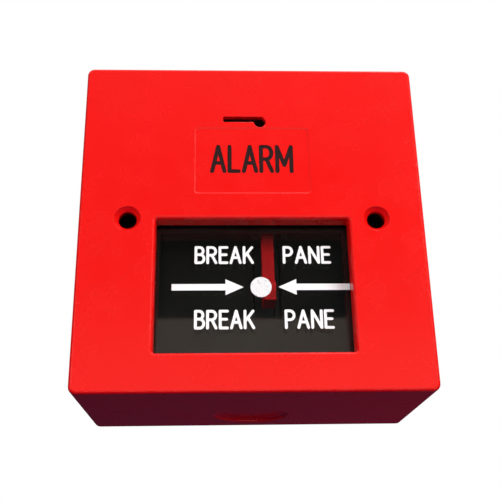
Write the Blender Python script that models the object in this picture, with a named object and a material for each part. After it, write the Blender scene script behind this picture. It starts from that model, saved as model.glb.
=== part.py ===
"""Manual call point for surface mounting, 86 x 87 x 45 mm.

A deep red cover closes over a base plate that is fixed to the wall. Behind the window of the cover a glass pane
rides in a sprung carrier. Pressing the pane swings a lever, and the lever pushes the plunger of a small
snap-action switch.
Frame: X to the right, Y into the wall, Z up. The origin is the centre of the rear face, which lies on the wall.
"""

import math

import bmesh
import bpy
from mathutils import Matrix, Vector

MM = 0.001
GAP = 0.3 * MM  # left between pieces that rest on each other
OUT = 1 * MM  # how far a cutting tool starts outside the surface it cuts
SHARP_ANGLE = math.radians(30)  # an edge sharper than this is shaded as one

# Cover
WIDTH = 86 * MM
HEIGHT = 87 * MM
DEPTH = 45 * MM
WALL = 2.5 * MM
CORNER_RADIUS = 1.8 * MM
FRONT_EDGE_RADIUS = 0.9 * MM
RIM_SETBACK = 0.4 * MM  # the cover's rear rim stays this far off the wall
FRONT = -DEPTH
FRONT_INNER = FRONT + WALL

# Window in the cover and its lip
WINDOW_HALF_WIDTH = 24 * MM
WINDOW_TOP = 0 * MM
WINDOW_BOTTOM = -34 * MM
LIP_DEPTH = 4.4 * MM
LIP_WALL = 2 * MM
LIP_END = FRONT + LIP_DEPTH

# Two wells for the cover screws
SCREW_X = 31 * MM
WELL_RADIUS = 3.5 * MM
WELL_BORE_RADIUS = 2.1 * MM
WELL_ENTRY_RADIUS = 3.5 * MM
WELL_ENTRY_DEPTH = 1.5 * MM
WELL_SEAT = -25 * MM
WELL_END = -23 * MM
SCREW_HOLE_RADIUS = 1.6 * MM
COVER_SCREW = (1.85 * MM, 2 * MM, 1.3 * MM, 9.5 * MM)  # head radius, head height, shank radius, length

# Key slot: a slot with a round hole at its right end
KEY_HOLE_X = 2.3 * MM
KEY_HOLE_Z = 27.4 * MM
KEY_HOLE_RADIUS = 1.5 * MM
KEY_SLOT_LEFT = -7.2 * MM
KEY_SLOT_HEIGHT = 1.5 * MM
RELIEF_LOW = (-9.2 * MM, 24.8 * MM)  # the wall is thinner behind the key slot, between these corners
RELIEF_HIGH = (5.4 * MM, 31.2 * MM)
RELIEF_DEPTH = 1 * MM

# Knock-out for a conduit, in the bottom wall
KNOCKOUT_Y = -15.5 * MM
KNOCKOUT_RADIUS = 9.5 * MM
KNOCKOUT_DEPTH = 1 * MM

# Pane, its gasket and its carrier
GASKET_THICKNESS = 0.7 * MM
GASKET_FRONT = LIP_END + GAP
PANE_FRONT = GASKET_FRONT + GASKET_THICKNESS + GAP
PANE_THICKNESS = 2 * MM
PANE_BACK = PANE_FRONT + PANE_THICKNESS
PANE_MARGIN = 1.3 * MM  # how far the pane reaches behind the lip
CARRIER_WALL = 1.3 * MM
CARRIER_RING = 1.5 * MM
CARRIER_SIGHT = 0.6 * MM  # how far the ring behind the pane reaches into the window
CARRIER_BACK = PANE_BACK + GAP + CARRIER_RING
GUIDE_X = 30 * MM
GUIDE_Z = (-10 * MM, -29 * MM)
GUIDE_RADIUS = 1.1 * MM
GUIDE_FRONT = -38.5 * MM
EAR_RADIUS = 3 * MM
EAR_BACK = -36.3 * MM

# Chassis
FLOOR_FRONT = -26 * MM
FLOOR_BACK = -24 * MM
CHASSIS_HALF_WIDTH = 38.5 * MM
CHASSIS_TOP = 15.5 * MM
CHASSIS_BOTTOM = -39.5 * MM
SCREEN_FRONT = -32.6 * MM
SCREEN_WALL = 1.4 * MM
BOSS_PLACES = ((-35, 12), (35, 12), (-35, -36), (35, -36))
BOSS_RADIUS = 3 * MM
BOSS_HOLE_FRONT = -38 * MM
BOSS_HOLE_DEPTH = 14 * MM
BOSS_HOLE_RADIUS = 1.4 * MM
CHASSIS_SCREW = (2.4 * MM, 1.5 * MM, 1.1 * MM, 12 * MM)
SCREEN_TOP = 12.4 * MM

# Lever and its pin
LEVER_X = 4.3 * MM
LEVER_WIDTH = 3.2 * MM
PIVOT_Y = -30 * MM
PIVOT_Z = 5 * MM
PIN_RADIUS = 1 * MM
HUB_RADIUS = 2.6 * MM
CHEEK_LEFT = 0.6 * MM
CHEEK_RIGHT = 10.2 * MM
CHEEK_WALL = 1.6 * MM

# Sub-miniature switch, 19.8 x 10.2 x 6.4 mm
SWITCH_FRONT = -26 * MM
SWITCH_BACK = -15.8 * MM
SWITCH_LEFT = 1.1 * MM
SWITCH_RIGHT = 7.5 * MM
SWITCH_LID = 1.3 * MM
SWITCH_TOP = -0.3 * MM
SWITCH_BOTTOM = -20.1 * MM
PLUNGER_Z = -8 * MM
PLUNGER_FRONT = -28 * MM
TAB_Z = (-2.8 * MM, -10.2 * MM, -17.6 * MM)
TAB_END = -9.1 * MM
SWITCH_SCREW_Y = -19.5 * MM
SWITCH_SCREW_Z = (-5.4 * MM, -14.9 * MM)
SWITCH_SCREW = (1.9 * MM, 1.4 * MM, 0.95 * MM, 9.4 * MM)
SWITCH_HOLE_RADIUS = 1.25 * MM
BRACKET_WALL = 1.6 * MM

# Terminal block with four poles
BLOCK_LEFT = -29 * MM
BLOCK_RIGHT = -7 * MM
BLOCK_BACK = -13.7 * MM
BLOCK_TOP = -6 * MM
BLOCK_BOTTOM = -16 * MM
POLE_X = (-25.5 * MM, -20.5 * MM, -15.5 * MM, -10.5 * MM)
LUG = 4.5 * MM
LUG_THICKNESS = 3 * MM
LUG_HALF_HEIGHT = 3 * MM
LUG_HOLE_RADIUS = 1.2 * MM
POCKET_HALF_WIDTH = 2 * MM
POCKET_FRONT = -22.4 * MM
POCKET_BACK = -15.8 * MM
POCKET_TOP = -7.7 * MM
WIRE_WAY = (-21.3 * MM, -18.5 * MM)  # front and back of the way that a wire takes to its clamp
WIRE_WAY_BOTTOM = -9 * MM
WIRE_WAY_HALF_WIDTH = 1.2 * MM
CAGE_HALF_WIDTH = 1.7 * MM
CAGE_FRONT = -22.1 * MM
CAGE_BACK = -16.1 * MM
CAGE_HALF_HEIGHT = 3 * MM
CAGE_MOUTH = (-21.2 * MM, -17.6 * MM)
CAGE_MOUTH_HALF_WIDTH = 1.1 * MM
CAGE_THREAD_RADIUS = 1.3 * MM
CLAMP_SEAT = -15.5 * MM
CLAMP_SCREW = (1.6 * MM, 1.3 * MM, 1 * MM, 3.4 * MM)
CLAMP_WELL_RADIUS = 1.9 * MM
BLOCK_SCREW = (1.9 * MM, 1.3 * MM, 0.9 * MM, 4.6 * MM)
WIRE_RADIUS = 0.6 * MM
WIRE_WAY_Y = -19.9 * MM

# Test slide behind the key slot
SLIDE_LEFT = -2.4 * MM
SLIDE_RIGHT = 7.0 * MM
SLIDE_TOP = 21.5 * MM
SLIDE_BOTTOM = 9 * MM
SLIDE_THICKNESS = 1.8 * MM
RAIL_WALL = 1.3 * MM
RAIL_BOTTOM = 5 * MM
RAIL_LENGTH = 17 * MM

# Base plate
BASE_THICKNESS = 3 * MM
POST_RADIUS = 4.5 * MM
POST_END = WELL_END + GAP
INSERT_RADIUS = 2.3 * MM
INSERT_LENGTH = 7 * MM
FIXING_SPACING = 60.3 * MM
ENTRY_HALF_WIDTH = 14 * MM
ENTRY_TOP = -9 * MM
ENTRY_BOTTOM = -26 * MM

# Finishes: colour, roughness, metallic
FINISHES = {
    "red_abs": ((0.82, 0.012, 0.012), 0.3, 0.0),
    "red_nylon": ((0.62, 0.02, 0.025), 0.4, 0.0),
    "black_abs": ((0.012, 0.012, 0.012), 0.5, 0.0),
    "black_rubber": ((0.01, 0.01, 0.01), 0.8, 0.0),
    "clear_glass": ((0.85, 0.9, 0.88), 0.05, 0.0),
    "white_nylon": ((0.8, 0.8, 0.76), 0.5, 0.0),
    "grey_nylon": ((0.3, 0.31, 0.32), 0.5, 0.0),
    "zinc_steel": ((0.6, 0.6, 0.6), 0.35, 1.0),
    "spring_steel": ((0.5, 0.5, 0.5), 0.3, 1.0),
    "brass": ((0.72, 0.52, 0.2), 0.3, 1.0),
    "tinned_brass": ((0.65, 0.63, 0.58), 0.35, 1.0),
    "red_pvc": ((0.6, 0.02, 0.02), 0.45, 0.0),
    "black_pvc": ((0.015, 0.015, 0.015), 0.45, 0.0),
    "blue_pvc": ((0.02, 0.08, 0.4), 0.45, 0.0),
}

AXES = {
    "X": Matrix.Rotation(math.pi / 2, 4, "Y"),
    "Y": Matrix.Rotation(-math.pi / 2, 4, "X"),
    "Z": Matrix.Identity(4),
}


def clear_scene():
    for item in list(bpy.data.objects):
        bpy.data.objects.remove(item, do_unlink=True)


def finish_material(name):
    """One Principled material for each finish, made when it is first asked for."""
    if name in bpy.data.materials:
        return bpy.data.materials[name]
    colour, roughness, metallic = FINISHES[name]
    material = bpy.data.materials.new(name)
    material.use_nodes = True
    shader = material.node_tree.nodes["Principled BSDF"]
    shader.inputs["Base Color"].default_value = (*colour, 1)
    shader.inputs["Roughness"].default_value = roughness
    shader.inputs["Metallic"].default_value = metallic
    return material


def add_box(bm, low, high):
    """A box between two corners. Returns its vertices."""
    low, high = Vector(low), Vector(high)
    size = high - low
    place = Matrix.Translation((low + high) / 2) @ Matrix.Diagonal((*size, 1))
    return bmesh.ops.create_cube(bm, size=1, matrix=place)["verts"]


def add_rod(bm, axis, start, length, radius, end_radius=None, sides=24):
    """A round rod, or a cone, that starts at a point and runs in the positive direction of an axis."""
    middle = Vector(start) + AXES[axis] @ Vector((0, 0, length / 2))
    bmesh.ops.create_cone(
        bm,
        cap_ends=True,
        segments=sides,
        radius1=radius,
        radius2=radius if end_radius is None else end_radius,
        depth=length,
        matrix=Matrix.Translation(middle) @ AXES[axis],
    )


def add_outline(bm, outline, left, right):
    """A plate with an outline of (y, z) points, from one X to another."""
    face = bm.faces.new([bm.verts.new((left, y, z)) for y, z in outline])
    side = bmesh.ops.extrude_face_region(bm, geom=[face])["geom"]
    moved = [item for item in side if isinstance(item, bmesh.types.BMVert)]
    bmesh.ops.translate(bm, verts=moved, vec=(right - left, 0, 0))
    bmesh.ops.recalc_face_normals(bm, faces=bm.faces)


def make(name, bm, finish, origin=(0, 0, 0)):
    """An object from a bmesh in world coordinates, with its origin where it is wanted."""
    bmesh.ops.translate(bm, verts=bm.verts, vec=-Vector(origin))
    mesh = bpy.data.meshes.new(name)
    bm.to_mesh(mesh)
    bm.free()
    mesh.shade_smooth()
    mesh.set_sharp_from_angle(angle=SHARP_ANGLE)
    return place(name, mesh, finish, origin)


def place(name, data, finish, origin=(0, 0, 0)):
    item = bpy.data.objects.new(name, data)
    item.location = origin
    item.parent = bpy.data.objects["call_point"]
    bpy.context.scene.collection.objects.link(item)
    if not data.materials:
        data.materials.append(finish_material(finish))
    return item


def combine(target, bm, operation):
    """Adds a bmesh in world coordinates to an object, or cuts it from the object, with a Boolean modifier."""
    name = f"{target.name}_{operation.lower()}_{len(target.modifiers)}"
    bmesh.ops.translate(bm, verts=bm.verts, vec=-target.location)
    mesh = bpy.data.meshes.new(name)
    bm.to_mesh(mesh)
    bm.free()
    tool = bpy.data.objects.new(name, mesh)
    tool.location = target.location
    tool.parent = bpy.data.objects["call_point"]
    tool.hide_render = True
    tool.display_type = "WIRE"
    bpy.context.scene.collection.objects.link(tool)
    modifier = target.modifiers.new(name, "BOOLEAN")
    modifier.operation = operation
    modifier.object = tool


def cut_rods(target, rods):
    """Cuts round holes, each given as (axis, start, length, radius)."""
    bm = bmesh.new()
    for axis, start, length, radius in rods:
        add_rod(bm, axis, start, length, radius)
    combine(target, bm, "DIFFERENCE")


def cut_boxes(target, boxes):
    bm = bmesh.new()
    for low, high in boxes:
        add_box(bm, low, high)
    combine(target, bm, "DIFFERENCE")


def rounded_box(bm, low, high, corner, front_edge):
    """A box whose four edges along Y are rounded, and then the edge around its front face."""
    add_box(bm, low, high)
    along = [e for e in bm.edges if abs(e.verts[0].co.y - e.verts[1].co.y) > corner]
    bmesh.ops.bevel(bm, geom=along, offset=corner, segments=4, profile=0.5, affect="EDGES")
    if front_edge:
        front = [e for e in bm.edges if all(abs(v.co.y - low[1]) < GAP / 10 for v in e.verts)]
        bmesh.ops.bevel(bm, geom=front, offset=front_edge, segments=3, profile=0.5, affect="EDGES")


def frame_box(half_width, bottom, top, front, back):
    """Corners of a box that is centred on X."""
    return (-half_width, front, bottom), (half_width, back, top)


def window_box(margin, front, back):
    """Corners of a box that follows the window, wider by a margin on each side."""
    return frame_box(WINDOW_HALF_WIDTH + margin, WINDOW_BOTTOM - margin, WINDOW_TOP + margin, front, back)


def make_front_cover():
    bm = bmesh.new()
    outer = frame_box(WIDTH / 2, -HEIGHT / 2, HEIGHT / 2, FRONT, -RIM_SETBACK)
    rounded_box(bm, *outer, CORNER_RADIUS, FRONT_EDGE_RADIUS)
    cover = make("front_cover", bm, "red_abs")
    cut_boxes(cover, [frame_box(WIDTH / 2 - WALL, WALL - HEIGHT / 2, HEIGHT / 2 - WALL, FRONT_INNER, MM)])
    add_cover_inside(cover)
    cut_boxes(cover, [window_box(0, FRONT - OUT, LIP_END + OUT)])
    cut_cover_holes(cover)


def add_cover_inside(cover):
    """The window's lip, the screw wells, the bosses for the chassis and the rails of the test slide."""
    inside = FRONT_INNER - WALL / 2
    solids = bmesh.new()
    add_box(solids, *window_box(LIP_WALL, inside, LIP_END))
    combine(cover, solids, "UNION")
    solids = bmesh.new()
    for side in (-1, 1):
        add_rod(solids, "Y", (side * SCREW_X, inside, 0), WELL_END - inside, WELL_RADIUS)
    for x, z in BOSS_PLACES:
        start = (x * MM, inside, z * MM)
        add_rod(solids, "Y", start, FLOOR_FRONT - GAP - inside, BOSS_RADIUS, sides=16)
    combine(cover, solids, "UNION")
    rails = bmesh.new()
    behind = FRONT_INNER + 2 * GAP + SLIDE_THICKNESS
    for edge, inward in ((SLIDE_LEFT - GAP, 1), (SLIDE_RIGHT + GAP, -1)):
        outer = edge - inward * RAIL_WALL
        lip = edge + inward * 3.5 * GAP
        profile = ((outer, inside), (edge, inside), (edge, behind), (lip, behind), (lip, behind + OUT))
        profile += ((outer, behind + OUT),)
        face = rails.faces.new([rails.verts.new((x, y, RAIL_BOTTOM)) for x, y in profile])
        side = bmesh.ops.extrude_face_region(rails, geom=[face])["geom"]
        moved = [item for item in side if isinstance(item, bmesh.types.BMVert)]
        bmesh.ops.translate(rails, verts=moved, vec=(0, 0, RAIL_LENGTH))
    bmesh.ops.recalc_face_normals(rails, faces=rails.faces)
    combine(cover, rails, "UNION")


def cut_cover_holes(cover):
    entries = bmesh.new()
    for side in (-1, 1):
        start = (side * SCREW_X, FRONT - OUT, 0)
        slope = (WELL_ENTRY_RADIUS - WELL_BORE_RADIUS) / WELL_ENTRY_DEPTH
        wide = WELL_ENTRY_RADIUS + slope * MM
        add_rod(entries, "Y", start, WELL_ENTRY_DEPTH + OUT, wide, WELL_BORE_RADIUS - GAP / 3)
    combine(cover, entries, "DIFFERENCE")
    bore = WELL_SEAT - FRONT + 0.5 * MM
    cut_rods(cover, [("Y", (s * SCREW_X, FRONT - 0.5 * MM, 0), bore, WELL_BORE_RADIUS) for s in (-1, 1)])
    holes = [("Y", (s * SCREW_X, WELL_SEAT - OUT, 0), 5 * MM, SCREW_HOLE_RADIUS) for s in (-1, 1)]
    for x, z in BOSS_PLACES:
        holes.append(("Y", (x * MM, BOSS_HOLE_FRONT, z * MM), BOSS_HOLE_DEPTH, BOSS_HOLE_RADIUS))
    holes.append(("Z", (0, KNOCKOUT_Y, -HEIGHT / 2 - OUT), KNOCKOUT_DEPTH + OUT, KNOCKOUT_RADIUS))
    holes.append(("Y", (KEY_HOLE_X, FRONT - OUT, KEY_HOLE_Z), WALL + 2 * MM, KEY_HOLE_RADIUS))
    cut_rods(cover, holes)
    relief_low = (RELIEF_LOW[0], FRONT_INNER - RELIEF_DEPTH, RELIEF_LOW[1])
    relief_high = (RELIEF_HIGH[0], FRONT_INNER + OUT, RELIEF_HIGH[1])
    cut_boxes(cover, [(relief_low, relief_high)])
    slot_low = (KEY_SLOT_LEFT, FRONT - 2 * OUT, KEY_HOLE_Z)
    slot_high = (KEY_HOLE_X + 1 * MM, FRONT_INNER + 2 * OUT, KEY_HOLE_Z + KEY_SLOT_HEIGHT)
    cut_boxes(cover, [(slot_low, slot_high)])


def make_base_plate():
    bm = bmesh.new()
    margin = WALL + GAP
    outer = frame_box(WIDTH / 2 - margin, margin - HEIGHT / 2, HEIGHT / 2 - margin, -BASE_THICKNESS, 0)
    rounded_box(bm, *outer, 1 * MM, 0)
    base = make("base_plate", bm, "red_abs")
    posts = bmesh.new()
    for side in (-1, 1):
        start = (side * SCREW_X, POST_END, 0)
        add_rod(posts, "Y", start, -POST_END - BASE_THICKNESS / 2, POST_RADIUS)
    combine(base, posts, "UNION")
    insert_hole = INSERT_LENGTH + 4 * GAP
    cut_rods(base, [("Y", (s * SCREW_X, POST_END - OUT, 0), insert_hole + OUT, 2.6 * MM) for s in (-1, 1)])
    entry = frame_box(ENTRY_HALF_WIDTH, ENTRY_BOTTOM, ENTRY_TOP, -BASE_THICKNESS - OUT, MM)
    cut_boxes(base, [entry])
    for side in (-1, 1):
        cut_fixing_slot(base, side * FIXING_SPACING / 2)


def cut_fixing_slot(base, z):
    """A slot 8 mm wide and 4.4 mm high with round ends, for a wall-box screw."""
    slot = bmesh.new()
    start = -BASE_THICKNESS - MM
    add_rod(slot, "Y", (0, start, z), BASE_THICKNESS + 2 * MM, 2.2 * MM, sides=16)
    for vertex in slot.verts:
        vertex.co.x += math.copysign(1.8 * MM, vertex.co.x) if abs(vertex.co.x) > MM / 100 else 0
    combine(base, slot, "DIFFERENCE")


def add_turned(bm, axis, start, profile, sides=12):
    """A turned piece: (radius, distance) points along an axis, closed by a flat face at each end."""
    turn = Matrix.Translation(Vector(start)) @ AXES[axis]
    rings = []
    for radius, along in profile:
        angles = [2 * math.pi * i / sides for i in range(sides)]
        ring = [Vector((radius * math.cos(a), radius * math.sin(a), along)) for a in angles]
        rings.append([bm.verts.new(turn @ point) for point in ring])
    for low, high in zip(rings, rings[1:]):
        for i in range(sides):
            j = (i + 1) % sides
            bm.faces.new((low[i], low[j], high[j], high[i]))
    bm.faces.new(reversed(rings[0]))
    bm.faces.new(rings[-1])
    bmesh.ops.recalc_face_normals(bm, faces=bm.faces)


def make_screw(name, axis, seat, head_radius, head_height, shank_radius, length, backwards, finish="zinc_steel"):
    """A screw with a domed, slotted head whose underside is at the seat. It runs forwards or backwards."""
    way = -1 if backwards else 1
    profile = [
        (head_radius * 0.75, -way * head_height),
        (head_radius, -way * head_height * 0.6),
        (head_radius, 0),
        (shank_radius, 0),
        (shank_radius, way * (length - shank_radius)),
        (shank_radius * 0.5, way * length),
    ]
    bm = bmesh.new()
    add_turned(bm, axis, seat, profile)
    screw = make(name, bm, finish, seat)
    slot = bmesh.new()
    reach = 2 * head_radius
    turn = Matrix.Translation(Vector(seat)) @ AXES[axis]
    corners = add_box(slot, (-reach, -0.3 * MM, -head_height), (reach, 0.3 * MM, head_height))
    bmesh.ops.translate(slot, verts=corners, vec=(0, 0, -way * 1.5 * head_height))
    bmesh.ops.transform(slot, matrix=turn, verts=slot.verts)
    combine(screw, slot, "DIFFERENCE")
    return screw


def make_cover_fixings():
    for side, label in ((-1, "left"), (1, "right")):
        seat = (side * SCREW_X, WELL_SEAT - GAP, 0)
        make_screw(f"cover_screw_{label}", "Y", seat, *COVER_SCREW, False)
        start = (side * SCREW_X, POST_END + GAP, 0)
        bm = bmesh.new()
        add_rod(bm, "Y", start, INSERT_LENGTH, INSERT_RADIUS)
        insert = make(f"post_insert_{label}", bm, "brass", start)
        hole_start = (side * SCREW_X, POST_END - OUT, 0)
        cut_rods(insert, [("Y", hole_start, INSERT_LENGTH + 3 * MM, SCREW_HOLE_RADIUS)])


def make_pane_group():
    """The gasket on the window's lip, the glass pane, and the carrier that holds it and slides on four guides."""
    bm = bmesh.new()
    add_box(bm, *window_box(LIP_WALL - GAP / 2, GASKET_FRONT, GASKET_FRONT + GASKET_THICKNESS))
    gasket = make("pane_gasket", bm, "black_rubber")
    cut_boxes(gasket, [window_box(GAP, LIP_END, PANE_FRONT)])

    bm = bmesh.new()
    add_box(bm, *window_box(PANE_MARGIN, PANE_FRONT, PANE_BACK))
    make("glass_pane", bm, "clear_glass", (0, PANE_FRONT, 0))

    bm = bmesh.new()
    pocket = PANE_MARGIN + GAP
    add_box(bm, *window_box(pocket + CARRIER_WALL, PANE_FRONT, CARRIER_BACK))
    carrier = make("pane_carrier", bm, "black_abs", (0, PANE_FRONT, 0))
    ears = bmesh.new()
    for side in (-1, 1):
        for z in GUIDE_Z:
            inner = side * (WINDOW_HALF_WIDTH + pocket)
            outer = side * (GUIDE_X + EAR_RADIUS)
            low = (min(inner, outer), PANE_FRONT + GAP, z - EAR_RADIUS)
            add_box(ears, low, (max(inner, outer), EAR_BACK, z + EAR_RADIUS))
    combine(carrier, ears, "UNION")
    seat = window_box(pocket, PANE_FRONT - OUT, PANE_BACK + GAP)
    cut_boxes(carrier, [seat])
    cut_boxes(carrier, [window_box(-CARRIER_SIGHT, PANE_BACK - OUT, CARRIER_BACK + OUT)])
    holes = []
    for side in (-1, 1):
        for z in GUIDE_Z:
            holes.append(("Y", (side * GUIDE_X, PANE_FRONT - OUT, z), 6 * MM, GUIDE_RADIUS + GAP))
    cut_rods(carrier, holes)


def helix(axis, start, length, radius, turns, per_turn=8):
    """Points of a coil that starts at a point and runs along an axis."""
    steps = round(turns * per_turn)
    turn = AXES[axis]
    points = []
    for i in range(steps + 1):
        angle = 2 * math.pi * i / per_turn
        point = Vector((radius * math.cos(angle), radius * math.sin(angle), length * i / steps))
        points.append(Vector(start) + turn @ point)
    return points


def tube_curve(name, points, radius, bevel_resolution=1):
    curve = bpy.data.curves.new(name, "CURVE")
    curve.dimensions = "3D"
    curve.bevel_depth = radius
    curve.bevel_resolution = bevel_resolution
    curve.use_fill_caps = True
    spline = curve.splines.new("POLY")
    spline.points.add(len(points) - 1)
    for target, point in zip(spline.points, points):
        target.co = (*point, 1)
    return curve


def make_pane_springs():
    """Four compression springs around the guides. Each is fixed at the chassis and pushes an ear forwards."""
    wire = 0.3 * MM
    front = EAR_BACK + GAP + wire
    length = FLOOR_FRONT - GAP - wire - front
    curve = tube_curve("pane_spring", helix("Y", (0, 0, 0), length, 1.8 * MM, 4), wire)
    names = iter(("upper_left", "lower_left", "upper_right", "lower_right"))
    for side in (-1, 1):
        for z in GUIDE_Z:
            place(f"pane_spring_{next(names)}", curve, "spring_steel", (side * GUIDE_X, front, z))


def make_chassis():
    bm = bmesh.new()
    add_box(bm, *frame_box(CHASSIS_HALF_WIDTH, CHASSIS_BOTTOM, CHASSIS_TOP, FLOOR_FRONT, FLOOR_BACK))
    chassis = make("chassis", bm, "black_abs")
    add_chassis_screen(chassis)
    cut_chassis_holes(chassis)
    add_chassis_stands(chassis)


def add_chassis_screen(chassis):
    """A wall around the space behind the pane. It keeps light out of the window."""
    middle = (FLOOR_FRONT + FLOOR_BACK) / 2
    half = WINDOW_HALF_WIDTH + PANE_MARGIN + CARRIER_WALL
    bottom = WINDOW_BOTTOM - PANE_MARGIN - CARRIER_WALL
    top = SCREEN_TOP
    screen = bmesh.new()
    add_box(screen, *frame_box(half, bottom, top, SCREEN_FRONT, middle))
    combine(chassis, screen, "UNION")
    wall = SCREEN_WALL
    hollow = frame_box(half - wall, bottom + wall, top - wall, SCREEN_FRONT - OUT, FLOOR_FRONT)
    cut_boxes(chassis, [hollow])


def cut_chassis_holes(chassis):
    holes = [("Y", (s * SCREW_X, FLOOR_FRONT - OUT, 0), 4 * MM, WELL_RADIUS + 0.7 * MM) for s in (-1, 1)]
    for x, z in BOSS_PLACES:
        holes.append(("Y", (x * MM, FLOOR_FRONT - OUT, z * MM), 4 * MM, BOSS_HOLE_RADIUS))
    for x in (BLOCK_LEFT - LUG / 2, BLOCK_RIGHT + LUG / 2):
        middle = (BLOCK_TOP + BLOCK_BOTTOM) / 2
        holes.append(("Y", (x, FLOOR_FRONT + 0.5 * MM, middle), 4 * MM, LUG_HOLE_RADIUS))
    cut_rods(chassis, holes)
    low = (SWITCH_LEFT - 0.5 * MM, FLOOR_FRONT - OUT, SWITCH_BOTTOM - 0.5 * MM)
    high = (SWITCH_RIGHT + 0.5 * MM, FLOOR_BACK + OUT, SWITCH_TOP + 0.5 * MM)
    cut_boxes(chassis, [(low, high)])


def add_chassis_stands(chassis):
    """The four guides, the two cheeks that carry the lever's pin, and the bracket that carries the switch."""
    guides = bmesh.new()
    length = FLOOR_FRONT + 0.4 * MM - GUIDE_FRONT
    for side in (-1, 1):
        for z in GUIDE_Z:
            add_rod(guides, "Y", (side * GUIDE_X, GUIDE_FRONT, z), length, GUIDE_RADIUS, sides=16)
    combine(chassis, guides, "UNION")
    stands = bmesh.new()
    for left in (CHEEK_LEFT, CHEEK_RIGHT - CHEEK_WALL):
        low = (left, PIVOT_Y - 2.4 * MM, PIVOT_Z - 2.8 * MM)
        add_box(stands, low, (left + CHEEK_WALL, FLOOR_FRONT + OUT, PIVOT_Z + 2.8 * MM))
    bracket = SWITCH_RIGHT + GAP
    low = (bracket, FLOOR_BACK - OUT, SWITCH_BOTTOM - 0.6 * MM)
    add_box(stands, low, (bracket + BRACKET_WALL, SWITCH_BACK, SWITCH_TOP + 0.6 * MM))
    combine(chassis, stands, "UNION")
    holes = [("X", (CHEEK_LEFT - OUT, PIVOT_Y, PIVOT_Z), 12 * MM, PIN_RADIUS + 0.25 * MM)]
    for z in SWITCH_SCREW_Z:
        holes.append(("X", (bracket - OUT, SWITCH_SCREW_Y, z), 4 * MM, SWITCH_HOLE_RADIUS))
    cut_rods(chassis, holes)


def make_chassis_screws():
    for number, (x, z) in enumerate(BOSS_PLACES, 1):
        seat = (x * MM, FLOOR_BACK + GAP, z * MM)
        make_screw(f"chassis_screw_{number}", "Y", seat, *CHASSIS_SCREW, True)


def make_lever():
    """The lever hangs from its pin. Its heel lies under the test slide, and its foot touches the pane."""
    left = LEVER_X - LEVER_WIDTH / 2
    right = LEVER_X + LEVER_WIDTH / 2
    foot_front = PANE_BACK + GAP
    blade = [
        (PIVOT_Y - 1.9 * MM, PIVOT_Z + 1 * MM),
        (PIVOT_Y - 4.6 * MM, PIVOT_Z + 0.5 * MM),
        (PIVOT_Y - 4.6 * MM, PIVOT_Z - 0.8 * MM),
        (PIVOT_Y - 1.9 * MM, PIVOT_Z - 2 * MM),
        (PIVOT_Y - 3.2 * MM, -12 * MM),
        (foot_front, -14 * MM),
        (foot_front, -18.6 * MM),
        (PIVOT_Y + 0.8 * MM, -18.6 * MM),
        (PIVOT_Y + 0.8 * MM, PLUNGER_Z - 1.2 * MM),
        (PLUNGER_FRONT - GAP, PLUNGER_Z - 0.6 * MM),
        (PLUNGER_FRONT - GAP, PLUNGER_Z + 0.6 * MM),
        (PIVOT_Y + 0.8 * MM, PLUNGER_Z + 1.2 * MM),
        (PIVOT_Y + 1.8 * MM, PIVOT_Z - 1.5 * MM),
    ]
    bm = bmesh.new()
    add_outline(bm, blade, left, right)
    lever = make("actuator_lever", bm, "red_nylon", (LEVER_X, PIVOT_Y, PIVOT_Z))
    hub = bmesh.new()
    add_rod(hub, "X", (left, PIVOT_Y, PIVOT_Z), LEVER_WIDTH, HUB_RADIUS)
    combine(lever, hub, "UNION")
    cut_rods(lever, [("X", (left - OUT, PIVOT_Y, PIVOT_Z), LEVER_WIDTH + 2 * MM, PIN_RADIUS + 0.15 * MM)])


def make_lever_pin():
    start = (CHEEK_LEFT - 1.1 * MM, PIVOT_Y, PIVOT_Z)
    length = CHEEK_RIGHT - CHEEK_LEFT + 2.2 * MM
    bm = bmesh.new()
    add_rod(bm, "X", start, length, PIN_RADIUS)
    make("lever_pin", bm, "zinc_steel", (LEVER_X, PIVOT_Y, PIVOT_Z))
    thickness = 0.4 * MM
    for label, x in (("left", CHEEK_LEFT - GAP - thickness), ("right", CHEEK_RIGHT + GAP)):
        bm = bmesh.new()
        add_rod(bm, "X", (x, PIVOT_Y, PIVOT_Z), thickness, 2.2 * MM, sides=20)
        clip = make(f"pin_clip_{label}", bm, "spring_steel", (x, PIVOT_Y, PIVOT_Z))
        cut_rods(clip, [("X", (x - OUT, PIVOT_Y, PIVOT_Z), 3 * MM, PIN_RADIUS + 0.2 * MM)])
        mouth = ((x - OUT, PIVOT_Y - 0.8 * MM, PIVOT_Z), (x + OUT, PIVOT_Y + 0.8 * MM, PIVOT_Z + 3 * MM))
        cut_boxes(clip, [mouth])


def make_lever_spring():
    """A torsion spring on the pin. One arm lies behind the lever, the other on the chassis floor."""
    wire = 0.25 * MM
    radius = 1.9 * MM
    left = LEVER_X + LEVER_WIDTH / 2 + GAP + wire
    turns = helix("X", (left, PIVOT_Y, PIVOT_Z), 1.7 * MM, radius, 2.5, per_turn=12)
    arm_y = PIVOT_Y + radius
    points = [
        Vector((LEVER_X - 1 * MM, arm_y, PIVOT_Z - 7.5 * MM)),
        Vector((left - 0.4 * MM, arm_y, PIVOT_Z - 7.5 * MM)),
        Vector((left, arm_y, PIVOT_Z - 7.2 * MM)),
    ]
    start = [p for p in turns if p.y > PIVOT_Y and abs(p.z - PIVOT_Z) < wire][0]
    points += turns[turns.index(start):]
    last = points[-1]
    points.append(Vector((last.x, FLOOR_FRONT - GAP - wire, last.z + 2.5 * MM)))
    place("lever_spring", tube_curve("lever_spring", points, wire), "spring_steel")


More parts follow.
